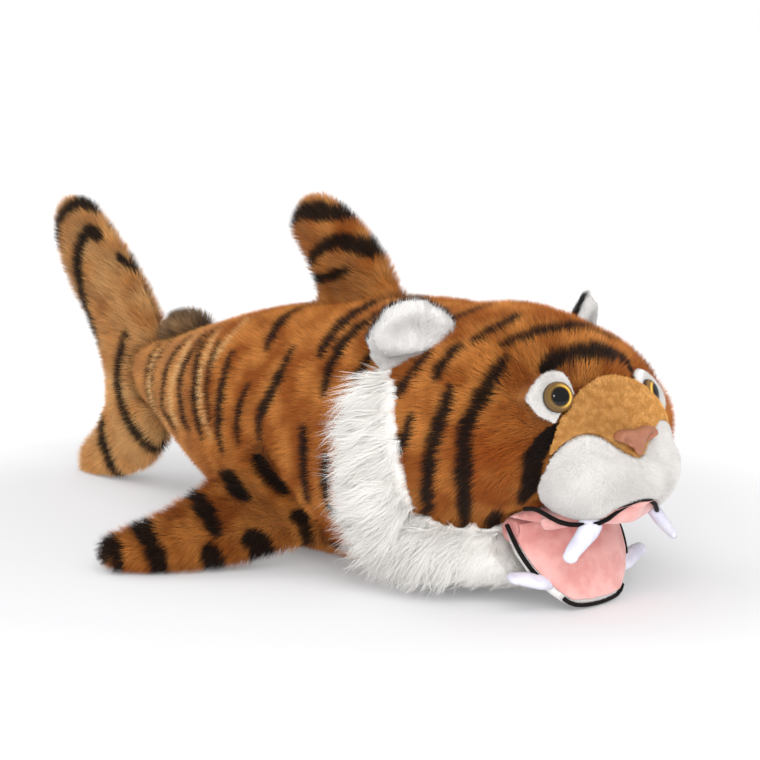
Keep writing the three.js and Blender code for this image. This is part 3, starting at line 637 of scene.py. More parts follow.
    def _bent(self, strands: Signal) -> Signal:
        """Droops and waves the strands, keeps them off the ground and places them on the bake map.

        Args:
            strands: The straight strands.

        Returns:
            The same strands, bent.
        """
        graph = self.graph
        along, reach = self._number("along"), self._number("reach")
        curl = along ** 2.0 * reach * self._input("Droop")
        bend = (self._vector("comb") - self._vector("root_normal") * self.FALL) * curl
        path = self._vector("root") * (self.WAVES / self._input("Tuft")) + along
        bend = bend + (graph.noise(path, 1.0, 1.0, "Color") - 0.5) * (along * reach * self._input("Wave"))
        strands = graph.signal("GeometryNodeSetPosition", inputs={"Geometry": strands, "Offset": bend})
        across, back, height = graph.position().parts()
        strands = graph.signal("GeometryNodeSetPosition", inputs={
            "Geometry": strands, "Position": graph.vector(across, back, height.at_least(self.GROUND))})
        nudge = graph.vector(self._number("across") * self.MAP_STEP, along * self.MAP_STEP, 0.0)
        return self._store(strands, "FLOAT2", {BAKE_MAP: self._vector(BAKE_MAP) + nudge}, "CORNER")

    def plant(self, piece: Object, pile: Pile, dye: Material, seed: int) -> None:
        """Grows a pile on a skin and leaves skin and strands as one plain mesh.

        Args:
            piece: The skin, with its comb, pile and colour attributes.
            pile: How the fur is cut.
            dye: The fur's material.
            seed: Fixes the random places.
        """
        modifier = piece.modifiers.new("pile", "NODES")
        modifier.node_group = self.tree
        values = {self._title(name): value for name, value in asdict(pile).items()}
        for name, value in (values | {"Seed": seed, "Dye": dye}).items():
            modifier[self.identifiers[name]] = value
        mesh = apply_modifiers(piece)
        for name in ("comb", "pile", "reach", "across", "root_normal"):
            mesh.attributes.remove(mesh.attributes[name])


def apply_modifiers(piece: Object) -> Mesh:
    """Gives an object the plain mesh that its modifiers make.

    Args:
        piece: The object.

    Returns:
        Its new mesh.
    """
    bpy.context.view_layer.update()
    graph = bpy.context.evaluated_depsgraph_get()
    mesh = bpy.data.meshes.new_from_object(
        piece.evaluated_get(graph), preserve_all_data_layers=True, depsgraph=graph)
    piece.modifiers.clear()
    piece.data = mesh
    return mesh


def linked(name: str, data: ID) -> Object:
    """Puts a mesh, light or camera into the scene as an object at the origin.

    Args:
        name: The object's name.
        data: The mesh, light or camera.

    Returns:
        The object.
    """
    piece = bpy.data.objects.new(name, data)
    bpy.context.scene.collection.objects.link(piece)
    return piece


def read(items: bpy.types.bpy_prop_collection, name: str, width: int = 1, kind: type = np.int32) -> Array:
    """Reads one property of all items of a mesh.

    Args:
        items: The points, faces or corners.
        name: The property.
        width: How many numbers it has.
        kind: The numbers' type.

    Returns:
        The numbers, in rows where there are more than one.
    """
    values = np.zeros(len(items) * width, kind)
    items.foreach_get(name, values)
    return values.reshape(-1, width) if width > 1 else values


def places_of(mesh: Mesh) -> Array:
    """Returns the places of a mesh's points."""
    return read(mesh.vertices, "co", 3, np.float32)


def normals_of(mesh: Mesh) -> Array:
    """Returns the normals of a mesh's points."""
    return read(mesh.vertex_normals, "vector", 3, np.float32)


def move(mesh: Mesh, places: Array) -> None:
    """Puts a mesh's points at new places."""
    mesh.vertices.foreach_set("co", places.astype(np.float32).ravel())
    mesh.update()


def opened(*meshes: Mesh) -> BMesh:
    """Joins meshes into one that can be edited.

    Args:
        *meshes: The meshes, which stay as they are.

    Returns:
        The editable mesh.
    """
    shell = bmesh.new()
    for mesh in meshes:
        shell.from_mesh(mesh)
    return shell


def close(shell: BMesh, mesh: Mesh) -> None:
    """Writes an editable mesh back."""
    shell.to_mesh(mesh)
    shell.free()


def solids(*nodes: str) -> list[Mesh]:
    """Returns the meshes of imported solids."""
    return [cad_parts[node].data for node in nodes]


def soften(mesh: Mesh, steps: int) -> None:
    """Evens out a mesh by moving each point towards its neighbours.

    Args:
        mesh: The mesh to change.
        steps: How often each point moves.
    """
    shell = opened(mesh)
    for _ in range(steps):
        bmesh.ops.smooth_vert(
            shell, verts=shell.verts, factor=0.5, use_axis_x=True, use_axis_y=True, use_axis_z=True)
    close(shell, mesh)


def search_tree(*meshes: Mesh) -> BVHTree:
    """Makes a search tree over the faces of meshes.

    Args:
        *meshes: The meshes.

    Returns:
        The tree.
    """
    shell = opened(*meshes)
    tree = BVHTree.FromBMesh(shell)
    shell.free()
    return tree


def gap_to(places: Array, nodes: Sequence[str]) -> Array:
    """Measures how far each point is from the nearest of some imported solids."""
    tree = search_tree(*solids(*nodes))
    return np.array([tree.find_nearest(Vector(place))[3] for place in places])


def keep(mesh: Mesh, attributes: dict[str, Array]) -> None:
    """Stores numbers or vectors for the points of a mesh.

    Args:
        mesh: The mesh.
        attributes: An array for each attribute's name.
    """
    for name, values in attributes.items():
        kind, slot = ("FLOAT", "value") if values.ndim == 1 else ("FLOAT_VECTOR", "vector")
        attribute = mesh.attributes.new(name, kind, "POINT")
        attribute.data.foreach_set(slot, values.astype(np.float32).ravel())


def lay_out_map(mesh: Mesh) -> None:
    """Gives a mesh its bake map: six flat charts, one for each way that its faces look.

    Args:
        mesh: The mesh.
    """
    margin, chart_size = 0.01, 0.31
    places = places_of(mesh)
    looks = read(mesh.polygons, "normal", 3, np.float32)
    corners = read(mesh.loops, "vertex_index")
    axis = np.abs(looks).argmax(axis=1)
    side = looks[np.arange(len(looks)), axis] > 0
    chart = np.repeat(axis * 2 + side, read(mesh.polygons, "loop_total"))
    low = places.min(axis=0)
    reach = float((places.max(axis=0) - low).max())
    flat = np.zeros((len(corners), 2), np.float32)
    for number in range(6):
        chosen = chart == number
        ways = [i for i in range(3) if i != number // 2]
        cell = np.array([number % 3 / 3, number // 3 / 2])
        share = (places[corners[chosen]][:, ways] - low[ways]) / reach
        flat[chosen] = cell + margin + share * chart_size
    mesh.uv_layers.new(name=BAKE_MAP).data.foreach_set("uv", flat.ravel())


@dataclass(frozen=True)
class Stripe:
    """One stripe: the places along its middle in millimetres, and half its width there."""

    route: tuple[Place, ...]
    half_width: float

    STEPS = 10
    THINNEST = 0.8 * MM
    TAPER = 0.3

    def samples(self, surface: BVHTree | None) -> Array:
        """Samples the stripe's middle closely.

        Args:
            surface: The skin that the stripe lies on, or None to leave the samples where they are.

        Returns:
            Rows of place and half width, in metres.
        """
        corners = [Vector(place) * MM for place in self.route]
        corners = [2 * corners[0] - corners[1], *corners, 2 * corners[-1] - corners[-2]]
        rows = []
        spans = len(corners) - 3
        for span in range(spans):
            a, b, c, d = corners[span:span + 4]
            for step in range(self.STEPS):
                t = step / (self.STEPS - 1)
                spot = 0.5 * (2 * b + (c - a) * t + (2 * a - 5 * b + 4 * c - d) * t**2
                              + (3 * b - a - 3 * c + d) * t**3)
                if surface is not None:
                    spot = surface.find_nearest(spot)[0]
                whole = (span + t) / spans
                taper = max(4 * whole * (1 - whole), 0.0) ** self.TAPER
                rows.append((*spot, max(self.half_width * MM * taper, self.THINNEST)))
        return np.array(rows)


def stripe_mask(places: Array, stripes: Sequence[Stripe], surface: BVHTree | None = None,
                through: Place | None = None) -> Array:
    """Tells how far each point lies inside the stripes.

    Args:
        places: Points in metres.
        stripes: The stripes.
        surface: The skin that they lie on and whose left side repeats them, or None for a fin.
        through: The direction in which a fin's stripes go through it, or None.

    Returns:
        About 1 on a stripe's middle, 0.5 at its edge, and 0 away from it.
    """
    spots = places.astype(float)
    if surface is not None:
        spots[:, 0] = -np.abs(spots[:, 0])
    rows = np.concatenate([stripe.samples(surface) for stripe in stripes])
    middles, halves = rows[:, :3], rows[:, 3]
    if through is not None:
        look = unit(np.array(through))
        spots = spots - np.outer(spots @ look, look)
        middles = middles - np.outer(middles @ look, look)
    nearest = np.full(len(spots), np.inf)
    for middle, half in zip(middles, halves):
        nearest = np.minimum(nearest, np.linalg.norm(spots - middle, axis=1) / half)
    nearest += wobble(places, 9 * MM, 3.1) * 0.35
    return 1 - smoothstep(nearest, 0.55, 1.45)


class Skins:
    """Makes the smooth skins of stuffed pieces and grows their pile."""

    SINK_STEPS = 4

    def __init__(self) -> None:
        """Starts with the tree that plants the pile."""
        self.tree = FurTree()
        self.seed = 1

    def copy(self, name: str, nodes: Sequence[str], voxel: float, relax: int,
             sink: float = 0.0) -> Object:
        """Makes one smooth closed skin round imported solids.

        Args:
            name: The piece's name.
            nodes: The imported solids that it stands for.
            voxel: How fine the skin is, in metres.
            relax: How many times it is smoothed.
            sink: How deep the skin lies under the solids' surface, so that its pile ends there.

        Returns:
            The skin, with its bake map.
        """
        shell = opened(*solids(*nodes))
        bmesh.ops.remove_doubles(shell, verts=shell.verts, dist=1e-6)
        rough = bpy.data.meshes.new(name)
        close(shell, rough)
        piece = linked(name, rough)
        remesh = piece.modifiers.new("even", "REMESH")
        remesh.mode = "VOXEL"
        remesh.voxel_size = voxel
        remesh.use_smooth_shade = True
        smooth = piece.modifiers.new("relax", "SMOOTH")
        smooth.factor = 0.5
        smooth.iterations = relax
        mesh = apply_modifiers(piece)
        self._keep_largest(mesh)
        for _ in range(self.SINK_STEPS if sink else 0):
            move(mesh, places_of(mesh) - normals_of(mesh) * sink / self.SINK_STEPS)
        lay_out_map(mesh)
        return piece

    def _keep_largest(self, mesh: Mesh) -> None:
        """Removes the small closed bits that a remesh can leave inside.

        Args:
            mesh: The skin's mesh.
        """
        shell = opened(mesh)
        shell.verts.ensure_lookup_table()
        unseen = set(range(len(shell.verts)))
        islands = []
        while unseen:
            stack = [unseen.pop()]
            island = []
            while stack:
                index = stack.pop()
                island.append(index)
                for edge in shell.verts[index].link_edges:
                    other = edge.other_vert(shell.verts[index]).index
                    if other in unseen:
                        unseen.discard(other)
                        stack.append(other)
            islands.append(island)
        islands.sort(key=len)
        small = [shell.verts[index] for island in islands[:-1] for index in island]
        bmesh.ops.delete(shell, geom=small, context="VERTS")
        close(shell, mesh)

    def grow(self, piece: Object, pile: Pile, dye: Material, flow: Flow,
             masks: dict[str, Array] | None = None, cut: Array | None = None) -> None:
        """Combs a skin and grows its pile.

        Args:
            piece: The skin.
            pile: How the fur is cut.
            dye: Its material.
            flow: Gives the way that the fur is brushed from places and normals.
            masks: Colour masks by name, such as the stripes. A mask that is left out is 0.
            cut: How long the fur is at each point, as a share of the pile's length.
        """
        places, normals = places_of(piece.data), normals_of(piece.data)
        brushed = flow(places, normals)
        brushed = unit(brushed - (brushed * normals).sum(axis=1, keepdims=True) * normals)
        none, whole = np.zeros(len(places)), np.ones(len(places))
        keep(piece.data, {
            "comb": brushed, "pile": whole if cut is None else cut, "along": none, "across": none,
            **(masks or {}),
        })
        self.seed += 1
        self.tree.plant(piece, pile, dye, self.seed)


def seat(piece: Object, body: str, slot: str, *nodes: str) -> None:
    """Ties a finished piece to its body and hides the solids that it stands for.

    Args:
        piece: The piece.
        body: The body that it rides on.
        slot: Not used.
        *nodes: The solids.
    """
    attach(piece, body)
    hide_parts(*nodes)
    LOG.info("%s: %d points", piece.name, len(piece.data.vertices))


@dataclass
class Maker(ABC):
    """A sub-assembly, which makes its own pieces from shared dyes and skins."""

    dyes: Dyes
    skins: Skins

    @abstractmethod
    def build(self) -> None:
        """Makes the sub-assembly's pieces."""


@dataclass
class Trunk(Maker):
    """Torso and tail cone under one striped fur, and the fins and tail that grow from them."""

    torso_stripes: tuple[Stripe, ...] = (
        Stripe(((-8, -12, 172), (-33, -16, 164), (-50, -23, 156), (-63, -29, 146)), 5.5),
        Stripe(((-64, -58, 153), (-75, -57, 135), (-78, -47, 116), (-80, -39, 99), (-80, -41, 79)), 5.2),
        Stripe(((0, -85, 181), (-25, -94, 180), (-50, -94, 171), (-70, -93, 149)), 6.5),
        Stripe(((-30, -122, 179), (-54, -113, 169), (-70, -109, 151), (-80, -108, 125)), 5.5),
        Stripe(((-62, -142, 158), (-74, -135, 141)), 4.5),
        Stripe(((-73, -21, 124), (-75, -14, 109), (-77, -10, 94), (-77, -11, 76)), 4.0),
        Stripe(((-58, 14, 140), (-69, 14, 119), (-73, 15, 101), (-73, 16, 83), (-74, 11, 67)), 5.8),
        Stripe(((-47, 40, 143), (-60, 38, 129), (-66, 36, 113), (-70, 32, 99), (-71, 27, 85)), 3.4),
        Stripe(((-30, 65, 145), (-50, 63, 133), (-61, 56, 116), (-65, 54, 102), (-67, 48, 85),
                (-69, 41, 73)), 5.2),
        Stripe(((-30, 78, 139), (-46, 76, 131), (-54, 82, 112), (-58, 81, 98), (-60, 75, 84),
                (-64, 62, 74)), 4.8),
        Stripe(((-20, 104, 136), (-33, 105, 128), (-41, 112, 117), (-46, 117, 99), (-46, 121, 83),
                (-51, 107, 74), (-54, 94, 68)), 4.6),
        Stripe(((-14, 140, 125), (-24, 140, 121), (-34, 146, 106), (-37, 143, 83), (-35, 137, 64)), 3.0),
        Stripe(((-15, 157, 119), (-26, 159, 111), (-31, 160, 96), (-30, 160, 80), (-25, 160, 67)), 3.4),
        Stripe(((-83, -90, 105), (-83, -91, 81), (-78, -90, 48)), 5.0),
        Stripe(((-83, -114, 89), (-79, -109, 53)), 4.5),
        Stripe(((-78, -109, 52), (-73, -124, 39), (-54, -133, 16)), 5.0),
        Stripe(((-72, -80, 14), (-66, -100, 9), (-58, -125, 7)), 4.0),
    )
    pale_lines: tuple[Stripe, ...] = (
        Stripe(((-20, 31, 157), (-47, 27, 146), (-58, 34, 132), (-65, 36, 116), (-69, 33, 102),
                (-71, 30, 88)), 2.4),
        Stripe(((-36, 55, 145), (-54, 48, 133), (-62, 48, 120), (-66, 45, 106), (-69, 39, 90),
                (-71, 27, 74)), 2.4),
        Stripe(((-26, 92, 136), (-47, 90, 122), (-52, 98, 102), (-53, 99, 87), (-57, 88, 74)), 3.0),
        Stripe(((-22, 147, 120), (-34, 150, 101), (-34, 152, 84), (-43, 124, 62)), 2.6),
    )
    tail_stripes: tuple[Stripe, ...] = (
        Stripe(((0, 315, 178), (0, 313, 189), (0, 309, 200), (0, 297, 212), (0, 285, 218), (0, 274, 217),
                (0, 262, 211)), 5.6),
        Stripe(((0, 252, 190), (0, 261, 196), (0, 271, 191), (0, 277, 175), (0, 274, 152), (0, 264, 130),
                (0, 250, 105)), 7.0),
        Stripe(((0, 234, 181), (0, 225, 174), (0, 213, 167)), 1.9),
        Stripe(((0, 210, 124), (0, 217, 101), (0, 219, 81), (0, 211, 62), (0, 198, 45), (0, 184, 32)), 5.4),
        Stripe(((0, 247, 52), (0, 246, 40), (0, 240, 25), (0, 238, 9)), 6.6),
        Stripe(((0, 176, 36), (0, 164, 42)), 3.0),
    )
    back_fin_stripes: tuple[Stripe, ...] = (
        Stripe(((0, 14, 224), (0, 6, 230), (0, -10, 235), (0, -26, 234), (0, -46, 232)), 5.8),
        Stripe(((0, -12, 198), (0, -24, 208), (0, -40, 215), (0, -55, 215), (0, -68, 211),
                (0, -80, 212)), 5.4),
        Stripe(((0, -6, 187), (0, -20, 188), (0, -40, 193), (0, -57, 198)), 4.0),
    )
    breast_fin_stripes: tuple[Stripe, ...] = (
        Stripe(((-188, 4, 27), (-190, -4, 13)), 7.0),
        Stripe(((-152, -1, 46), (-161, -8, 34), (-164, -29, 18), (-167, -47, 4)), 7.0),
        Stripe(((-181, -3, 24), (-184, -16, 10)), 4.5),
        Stripe(((-129, -20, 56), (-129, -40, 42), (-127, -52, 28)), 6.0),
        Stripe(((-134, -50, 18), (-135, -62, 8)), 8.0),
        Stripe(((-103, -25, 67), (-106, -45, 54), (-102, -52, 49)), 5.4),
        Stripe(((-111, -62, 24), (-104, -68, 20), (-103, -80, 11)), 8.0),
        Stripe(((-88, -42, 76), (-85, -53, 64), (-79, -67, 51)), 3.8),
        Stripe(((-79, -74, 39), (-76, -82, 36), (-76, -87, 22)), 4.5),
    )
    across: Place = (1, 0, 0)
    fin_normal: Place = (-0.551, -0.673, 0.493)
    fin_flow: Place = (0.813, 0.551, -0.499)
    tail_seam: Place = (0, 0.1344, 0.1)
    tail_bend: float = 20 * MM
    rump: Span = mm(-60, 50)
    rump_rise: float = 5 * MM
    pale_tail: Span = mm(20, 120)
    lobe_middle: float = 85 * MM
    lobe_reach: float = 60 * MM
    back_fin_root: float = 0.175
    back_fin_height: float = 0.065
    back_fin_lean: Place = mm(0, 5, 7)
    fin_blotch: float = 14 * MM
    rump_pile: Pile = replace(LONG_PILE, length=12 * MM)

    def build(self) -> None:
        """Makes the fur of the torso, tail and fins."""
        self._body()
        self._tail_fin()
        self._back_fin()
        self._rump_fin()
        for side, sign in SIDES:
            self._breast_fin(side, sign)

    def _body(self) -> None:
        """Makes the torso and tail cone under one fur, with the rump raised a little."""
        nodes = ("torso_skin", "torso_stuffing", "tail_skin", "tail_stuffing")
        piece = self.skins.copy("body_fur", nodes, voxel=2.2 * MM, relax=44, sink=0.8 * LONG_SINK)
        places = places_of(piece.data)
        places[:, 2] += self.rump_rise * smoothstep(places[:, 1], *self.rump)
        move(piece.data, places)
        surface = search_tree(piece.data)
        stripes = stripe_mask(places, self.torso_stripes, surface)
        pale = stripe_mask(places, self.pale_lines, surface) * (1 - stripes)
        pale = 0.9 * pale + 0.22 * smoothstep(places[:, 1], *self.pale_tail)
        masks = {"stripe": stripes, "pale": np.clip(pale, 0, 1)}
        self.skins.grow(piece, LONG_PILE, self.dyes.striped, steady(0.0, 1.0, -0.4), masks)
        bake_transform(piece)
        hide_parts(*nodes)

    def _lobes(self, spots: Array, normals: Array) -> Array:
        """Brushes the tail fin's fur out along each lobe."""
        rise = np.clip((spots[:, 2] - self.lobe_middle) / self.lobe_reach, -1, 1)
        return np.stack([0 * rise, 0.8 - 0.3 * np.abs(rise), rise], axis=1)

    def _tail_fin(self) -> None:
        """Makes the upright tail fin."""
        nodes = ("tail_fin_skin", "tail_fin_stuffing")
        piece = self.skins.copy("tail_fin_fur", nodes, voxel=2.5 * MM, relax=8, sink=0.3 * LONG_SINK)
        places = places_of(piece.data)
        stripes = stripe_mask(places, self.tail_stripes, through=self.across)
        masks = {"stripe": stripes, "pale": 0.42 + 0.35 * wobble(places, self.fin_blotch, 5.1)}
        self.skins.grow(piece, LONG_PILE, self.dyes.striped, self._lobes, masks)
        seat(piece, "tail", "striped_plush", *nodes)

    def _back_fin(self) -> None:
        """Makes the back fin, whose tip is lifted and swept back."""
        nodes = ("back_fin_skin", "back_fin_stuffing")
        piece = self.skins.copy("back_fin_fur", nodes, voxel=2.5 * MM, relax=8, sink=0.15 * LONG_SINK)
        places = places_of(piece.data)
        share = np.clip((places[:, 2] - self.back_fin_root) / self.back_fin_height, 0, 1.2) ** 2
        places += np.outer(share, self.back_fin_lean)
        move(piece.data, places)
        stripes = stripe_mask(places, self.back_fin_stripes, through=self.across)
        masks = {"stripe": stripes, "pale": 0.1 + 0.2 * wobble(places, self.fin_blotch, 5.1)}
        self.skins.grow(piece, LONG_PILE, self.dyes.striped, steady(0.0, 0.5, 0.8), masks)
        seat(piece, "back_fin", "striped_plush", *nodes)

    def _rump_fin(self) -> None:
        """Makes the small dark fin on the tail cone."""
        piece = self.skins.copy("rump_fin_fur", ("rump_fin",), voxel=2 * MM, relax=5)
        places = places_of(piece.data)
        places[:, 2] += self.rump_rise
        move(piece.data, places)
        self.skins.grow(piece, self.rump_pile, self.dyes.dark, steady(0.0, 0.6, 0.7))
        seat(piece, "tail", "dark_plush", "rump_fin")

    def _breast_fin(self, side: str, sign: int) -> None:
        """Makes one side fin, with the right fin's stripes.

        Args:
            side: "right" or "left".
            sign: -1 for the right side, 1 for the left.
        """
        nodes = (f"{side}_breast_fin_skin", f"{side}_breast_fin_stuffing")
        piece = self.skins.copy(f"{side}_fin_fur", nodes, voxel=2.5 * MM, relax=8, sink=0.15 * LONG_SINK)
        on_right = places_of(piece.data) * np.array((-sign, 1, 1))
        stripes = stripe_mask(on_right, self.breast_fin_stripes, through=self.fin_normal)
        x, y, z = self.fin_flow
        self.skins.grow(piece, LONG_PILE, self.dyes.striped, steady(x * sign, y, z), {"stripe": stripes})
        seat(piece, f"{side}_fin", "striped_plush", *nodes)


@dataclass
class Head(Maker):
    """The head's fur, the snout, eyes, nose and ears."""

    stripes: tuple[Stripe, ...] = (
        Stripe(((-73, -208, 167), (-83, -200, 154), (-88, -190, 134)), 4.5),
        Stripe(((-64, -229, 174), (-76, -224, 163), (-84, -224, 152)), 4.5),
        Stripe(((-92, -210, 130), (-91, -202, 111), (-89, -193, 95)), 4.5),
        Stripe(((-83, -238, 151), (-89, -235, 132), (-90, -226, 106), (-85, -217, 81), (-65, -200, 55)), 5.5),
        Stripe(((-54, -260, 169), (-75, -260, 149), (-83, -252, 124), (-82, -249, 100), (-70, -237, 72),
                (-46, -217, 48)), 6.0),
        Stripe(((-19, -235, 188), (-40, -238, 183), (-62, -234, 174)), 4.5),
        Stripe(((-54, -252, 172), (-32, -257, 178), (0, -260, 180), (32, -257, 178)), 4.8),
        Stripe(((-43, -275, 161), (-28, -277, 165), (0, -279, 167), (28, -277, 165)), 5.5),
        Stripe(((-46, -297, 129), (-55, -293, 120), (-60, -288, 108), (-59, -284, 96), (-55, -277, 84),
                (-49, -266, 72)), 6.0),
        Stripe(((-54, -251, 68), (-48, -242, 61), (-39, -230, 53)), 4.6),
        Stripe(((-46, -200, 183), (-25, -199, 187), (-6, -198, 189)), 4.5),
    )
    ruff_nodes: tuple[str, ...] = ("throat_ruff", "right_ruff_crest", "left_ruff_crest")
    eye_nodes: tuple[str, ...] = ("right_eye_patch", "left_eye_patch", "right_eye", "left_eye")
    snout_nodes: tuple[str, ...] = ("nose_bridge", "muzzle_pad", "upper_lip", "palate_lining")
    snout_seam: Span = mm(2.6, 3.6)
    snout_fade: Span = mm(4, 14)
    eye_seam: Span = mm(4.2, 4.8)
    eye_fade: Span = mm(4.6, 13)
    ruff_fade: Span = mm(3, 11)
    snout: Place = (0, -0.31, 0.115)
    sag: Place = mm(0, 1, -8.5)
    sag_across: Span = mm(4, 36)
    sag_ahead: Span = mm(170, 235)
    sag_up: Span = mm(70, 120)
    far_cheek: Place = mm(78, -262, 118)
    far_cheek_reach: float = 30 * MM
    far_cheek_fill: Place = mm(9, -3, 0)
    cheek: Place = mm(76, -262, 106)
    cheek_rust: Span = mm(14, 42)
    eye_aim: Place = (0.42, -0.86, 0.28)
    eye_height: float = 7 * MM
    eye_rim: float = 1.2 * MM
    eye_radius: float = 10 * MM
    eye_rings: int = 14
    eye_turns: int = 48
    eye_edge: tuple[Span, ...] = ((1.0, -0.16), (0.9, -0.2))
    # the way of the painted light inside the eye
    eye_glow: Place = (-0.85, -0.4, 0.15)
    far_eye_shift: Place = mm(-2.5, 3, -1)
    patch_growth: float = 1.16
    patch_core: float = 21 * MM
    patch_rim: float = 0.35
    ear_look: Place = (0.56, -0.8, 0.05)
    ear_turn: float = math.radians(17)
    ear_growth: float = 1.05
    ear_shift: Place = mm(-2, -2, 1)
    ear_tuck: Span = mm(6, 20)
    ear_tuck_depth: float = 9 * MM
    far_ear_sag: float = 12 * MM
    ear_cup: Span = mm(4, 21)
    ear_cup_depth: float = 5.5 * MM
    ear_fold: Span = mm(7, 3)
    ear_fold_height: float = 2.4 * MM
    nose_dent: Span = mm(12, 116)
    nose_dent_reach: float = 3.4 * MM
    nose_dent_depth: float = 2.8 * MM
    nose_waist: float = 118.5 * MM

    def build(self) -> None:
        """Makes the head's pieces."""
        self._fur()
        self._snout()
        for side, sign in SIDES:
            self._eye(side, sign)
            self._patch(side, sign)
            self._ear(side, sign)
        self._nose()

    def _away(self, spots: Array, normals: Array) -> Array:
        """Brushes the fur away from the nose and a little down."""
        return unit(spots - np.array(self.snout)) + np.array((0, 0.6, -0.25))

    def _tilt(self, places: Array) -> Array:
        """Works out how the left half of the face moves, as the photographed head lies a little askew.

        Args:
            places: Points in metres.

        Returns:
            How far each point sags, and fills the far cheek.
        """
        share = smoothstep(places[:, 0], *self.sag_across) * smoothstep(-places[:, 1], *self.sag_ahead)
        share = share * smoothstep(places[:, 2], *self.sag_up)
        off = np.linalg.norm(places - np.array(self.far_cheek), axis=1)
        bulge = np.exp(-(off / self.far_cheek_reach) ** 2)
        return np.outer(share, self.sag) + np.outer(bulge, self.far_cheek_fill)

    def _fur(self) -> None:
        """Makes the head's striped fur, which is cut short round the eyes and the snout."""
        nodes = ("head_skin", "head_stuffing")
        piece = self.skins.copy("head_fur", nodes, voxel=2.6 * MM, relax=24, sink=0.7 * LONG_SINK)
        places = places_of(piece.data)
        stripes = stripe_mask(places, self.stripes, search_tree(piece.data))
        plush = gap_to(places, self.snout_nodes)
        felt = gap_to(places, self.eye_nodes)
        near_plush = 0.45 * smoothstep(plush, *self.snout_seam) + 0.55 * smoothstep(plush, *self.snout_fade)
        near_felt = 0.35 * smoothstep(felt, *self.eye_seam) + 0.65 * smoothstep(felt, *self.eye_fade)
        on_left = np.stack([np.abs(places[:, 0]), places[:, 1], places[:, 2]], axis=1)
        cheek = np.linalg.norm(on_left - np.array(self.cheek), axis=1)
        rust = (1 - smoothstep(cheek, *self.cheek_rust)) * (0.75 + 0.5 * wobble(places, 8 * MM, 2.3))
        overlap = 1 + 0.5 * (1 - smoothstep(gap_to(places, self.ruff_nodes), *self.ruff_fade))
        cut = np.minimum(near_plush, near_felt) * overlap
        move(piece.data, places + self._tilt(places))
        masks = {"stripe": stripes, "rust": np.clip(rust, 0, 1)}
        self.skins.grow(piece, LONG_PILE, self.dyes.striped, self._away, masks, cut)
        seat(piece, "torso", "striped_plush", *nodes)

    def _snout(self) -> None:
        """Makes the tan bridge of the nose and the white muzzle pad."""
        for name, node, dye, slot, relax in (
            ("bridge_plush", "nose_bridge", self.dyes.tan, "tan_plush", 64),
            ("muzzle_plush", "muzzle_pad", self.dyes.white, "white_plush", 40),
        ):
            piece = self.skins.copy(name, (node,), 0.9 * MM, relax, SHORT_SINK)
            self.skins.grow(piece, SHORT_PILE, dye, self._away)
            seat(piece, "torso", slot, node)

    def _eye(self, side: str, sign: int) -> None:
        """Makes one safety eye: a dome over its painted rings, with painted light on the side of the iris
        where light falls in.

        Args:
            side: "right" or "left".
            sign: -1 for the right side, 1 for the left.
        """
        aim = Vector((self.eye_aim[0] * sign, *self.eye_aim[1:])).normalized()
        solid, = solids(f"{side}_eye")
        tip = max((vertex.co for vertex in solid.vertices), key=lambda place: place.dot(aim))
        tip = tip + Vector(self._tilt(np.array([tip]))[0])
        if sign > 0:
            tip = tip + Vector(self.far_eye_shift)
        base = tip - aim * self.eye_height
        mesh = bpy.data.meshes.new(f"{side}_safety_eye")
        close(self._dome(base, aim), mesh)
        mesh.shade_smooth()
        offsets = places_of(mesh) - np.array(base)
        flat = (offsets - np.outer(offsets @ np.array(aim), np.array(aim))) / self.eye_radius
        # painted light: the side of the iris towards this way is given the lit rings
        lit = np.array((self.eye_glow[0] * sign, *self.eye_glow[1:]))
        keep(mesh, {"off_axis": np.linalg.norm(flat, axis=1), "glow": smoothstep(flat @ lit, -0.25, 0.6)})
        lay_out_map(mesh)
        mesh.materials.append(self.dyes.eye)
        seat(linked(f"{side}_safety_eye", mesh), "torso", "eye_plastic", f"{side}_eye")

    def _dome(self, base: Vector, aim: Vector) -> BMesh:
        """Turns the eye's profile round its axis.

        Args:
            base: The middle of the eye's back.
            aim: The way that the eye looks.

        Returns:
            The closed dome.
        """
        shell = bmesh.new()
        across = aim.orthogonal().normalized()
        upward = aim.cross(across)
        profile = [(math.sin(t), math.cos(t)) for t in np.linspace(0.03, math.pi / 2, self.eye_rings)]
        rows = [[
            shell.verts.new(
                base + across * (self.eye_radius * reach * math.cos(turn))
                + upward * (self.eye_radius * reach * math.sin(turn))
                + aim * (self.eye_rim + (self.eye_height - self.eye_rim) * height))
            for turn in np.linspace(0, 2 * math.pi, self.eye_turns, endpoint=False)
        ] for reach, height in (*profile, *self.eye_edge)]
        for low, high in zip(rows, rows[1:]):
            for i, j in ((i, (i + 1) % self.eye_turns) for i in range(self.eye_turns)):
                shell.faces.new((low[i], low[j], high[j], high[i]))
        shell.faces.new(rows[0])
        shell.faces.new(rows[-1])
        bmesh.ops.recalc_face_normals(shell, faces=shell.faces)
        return shell

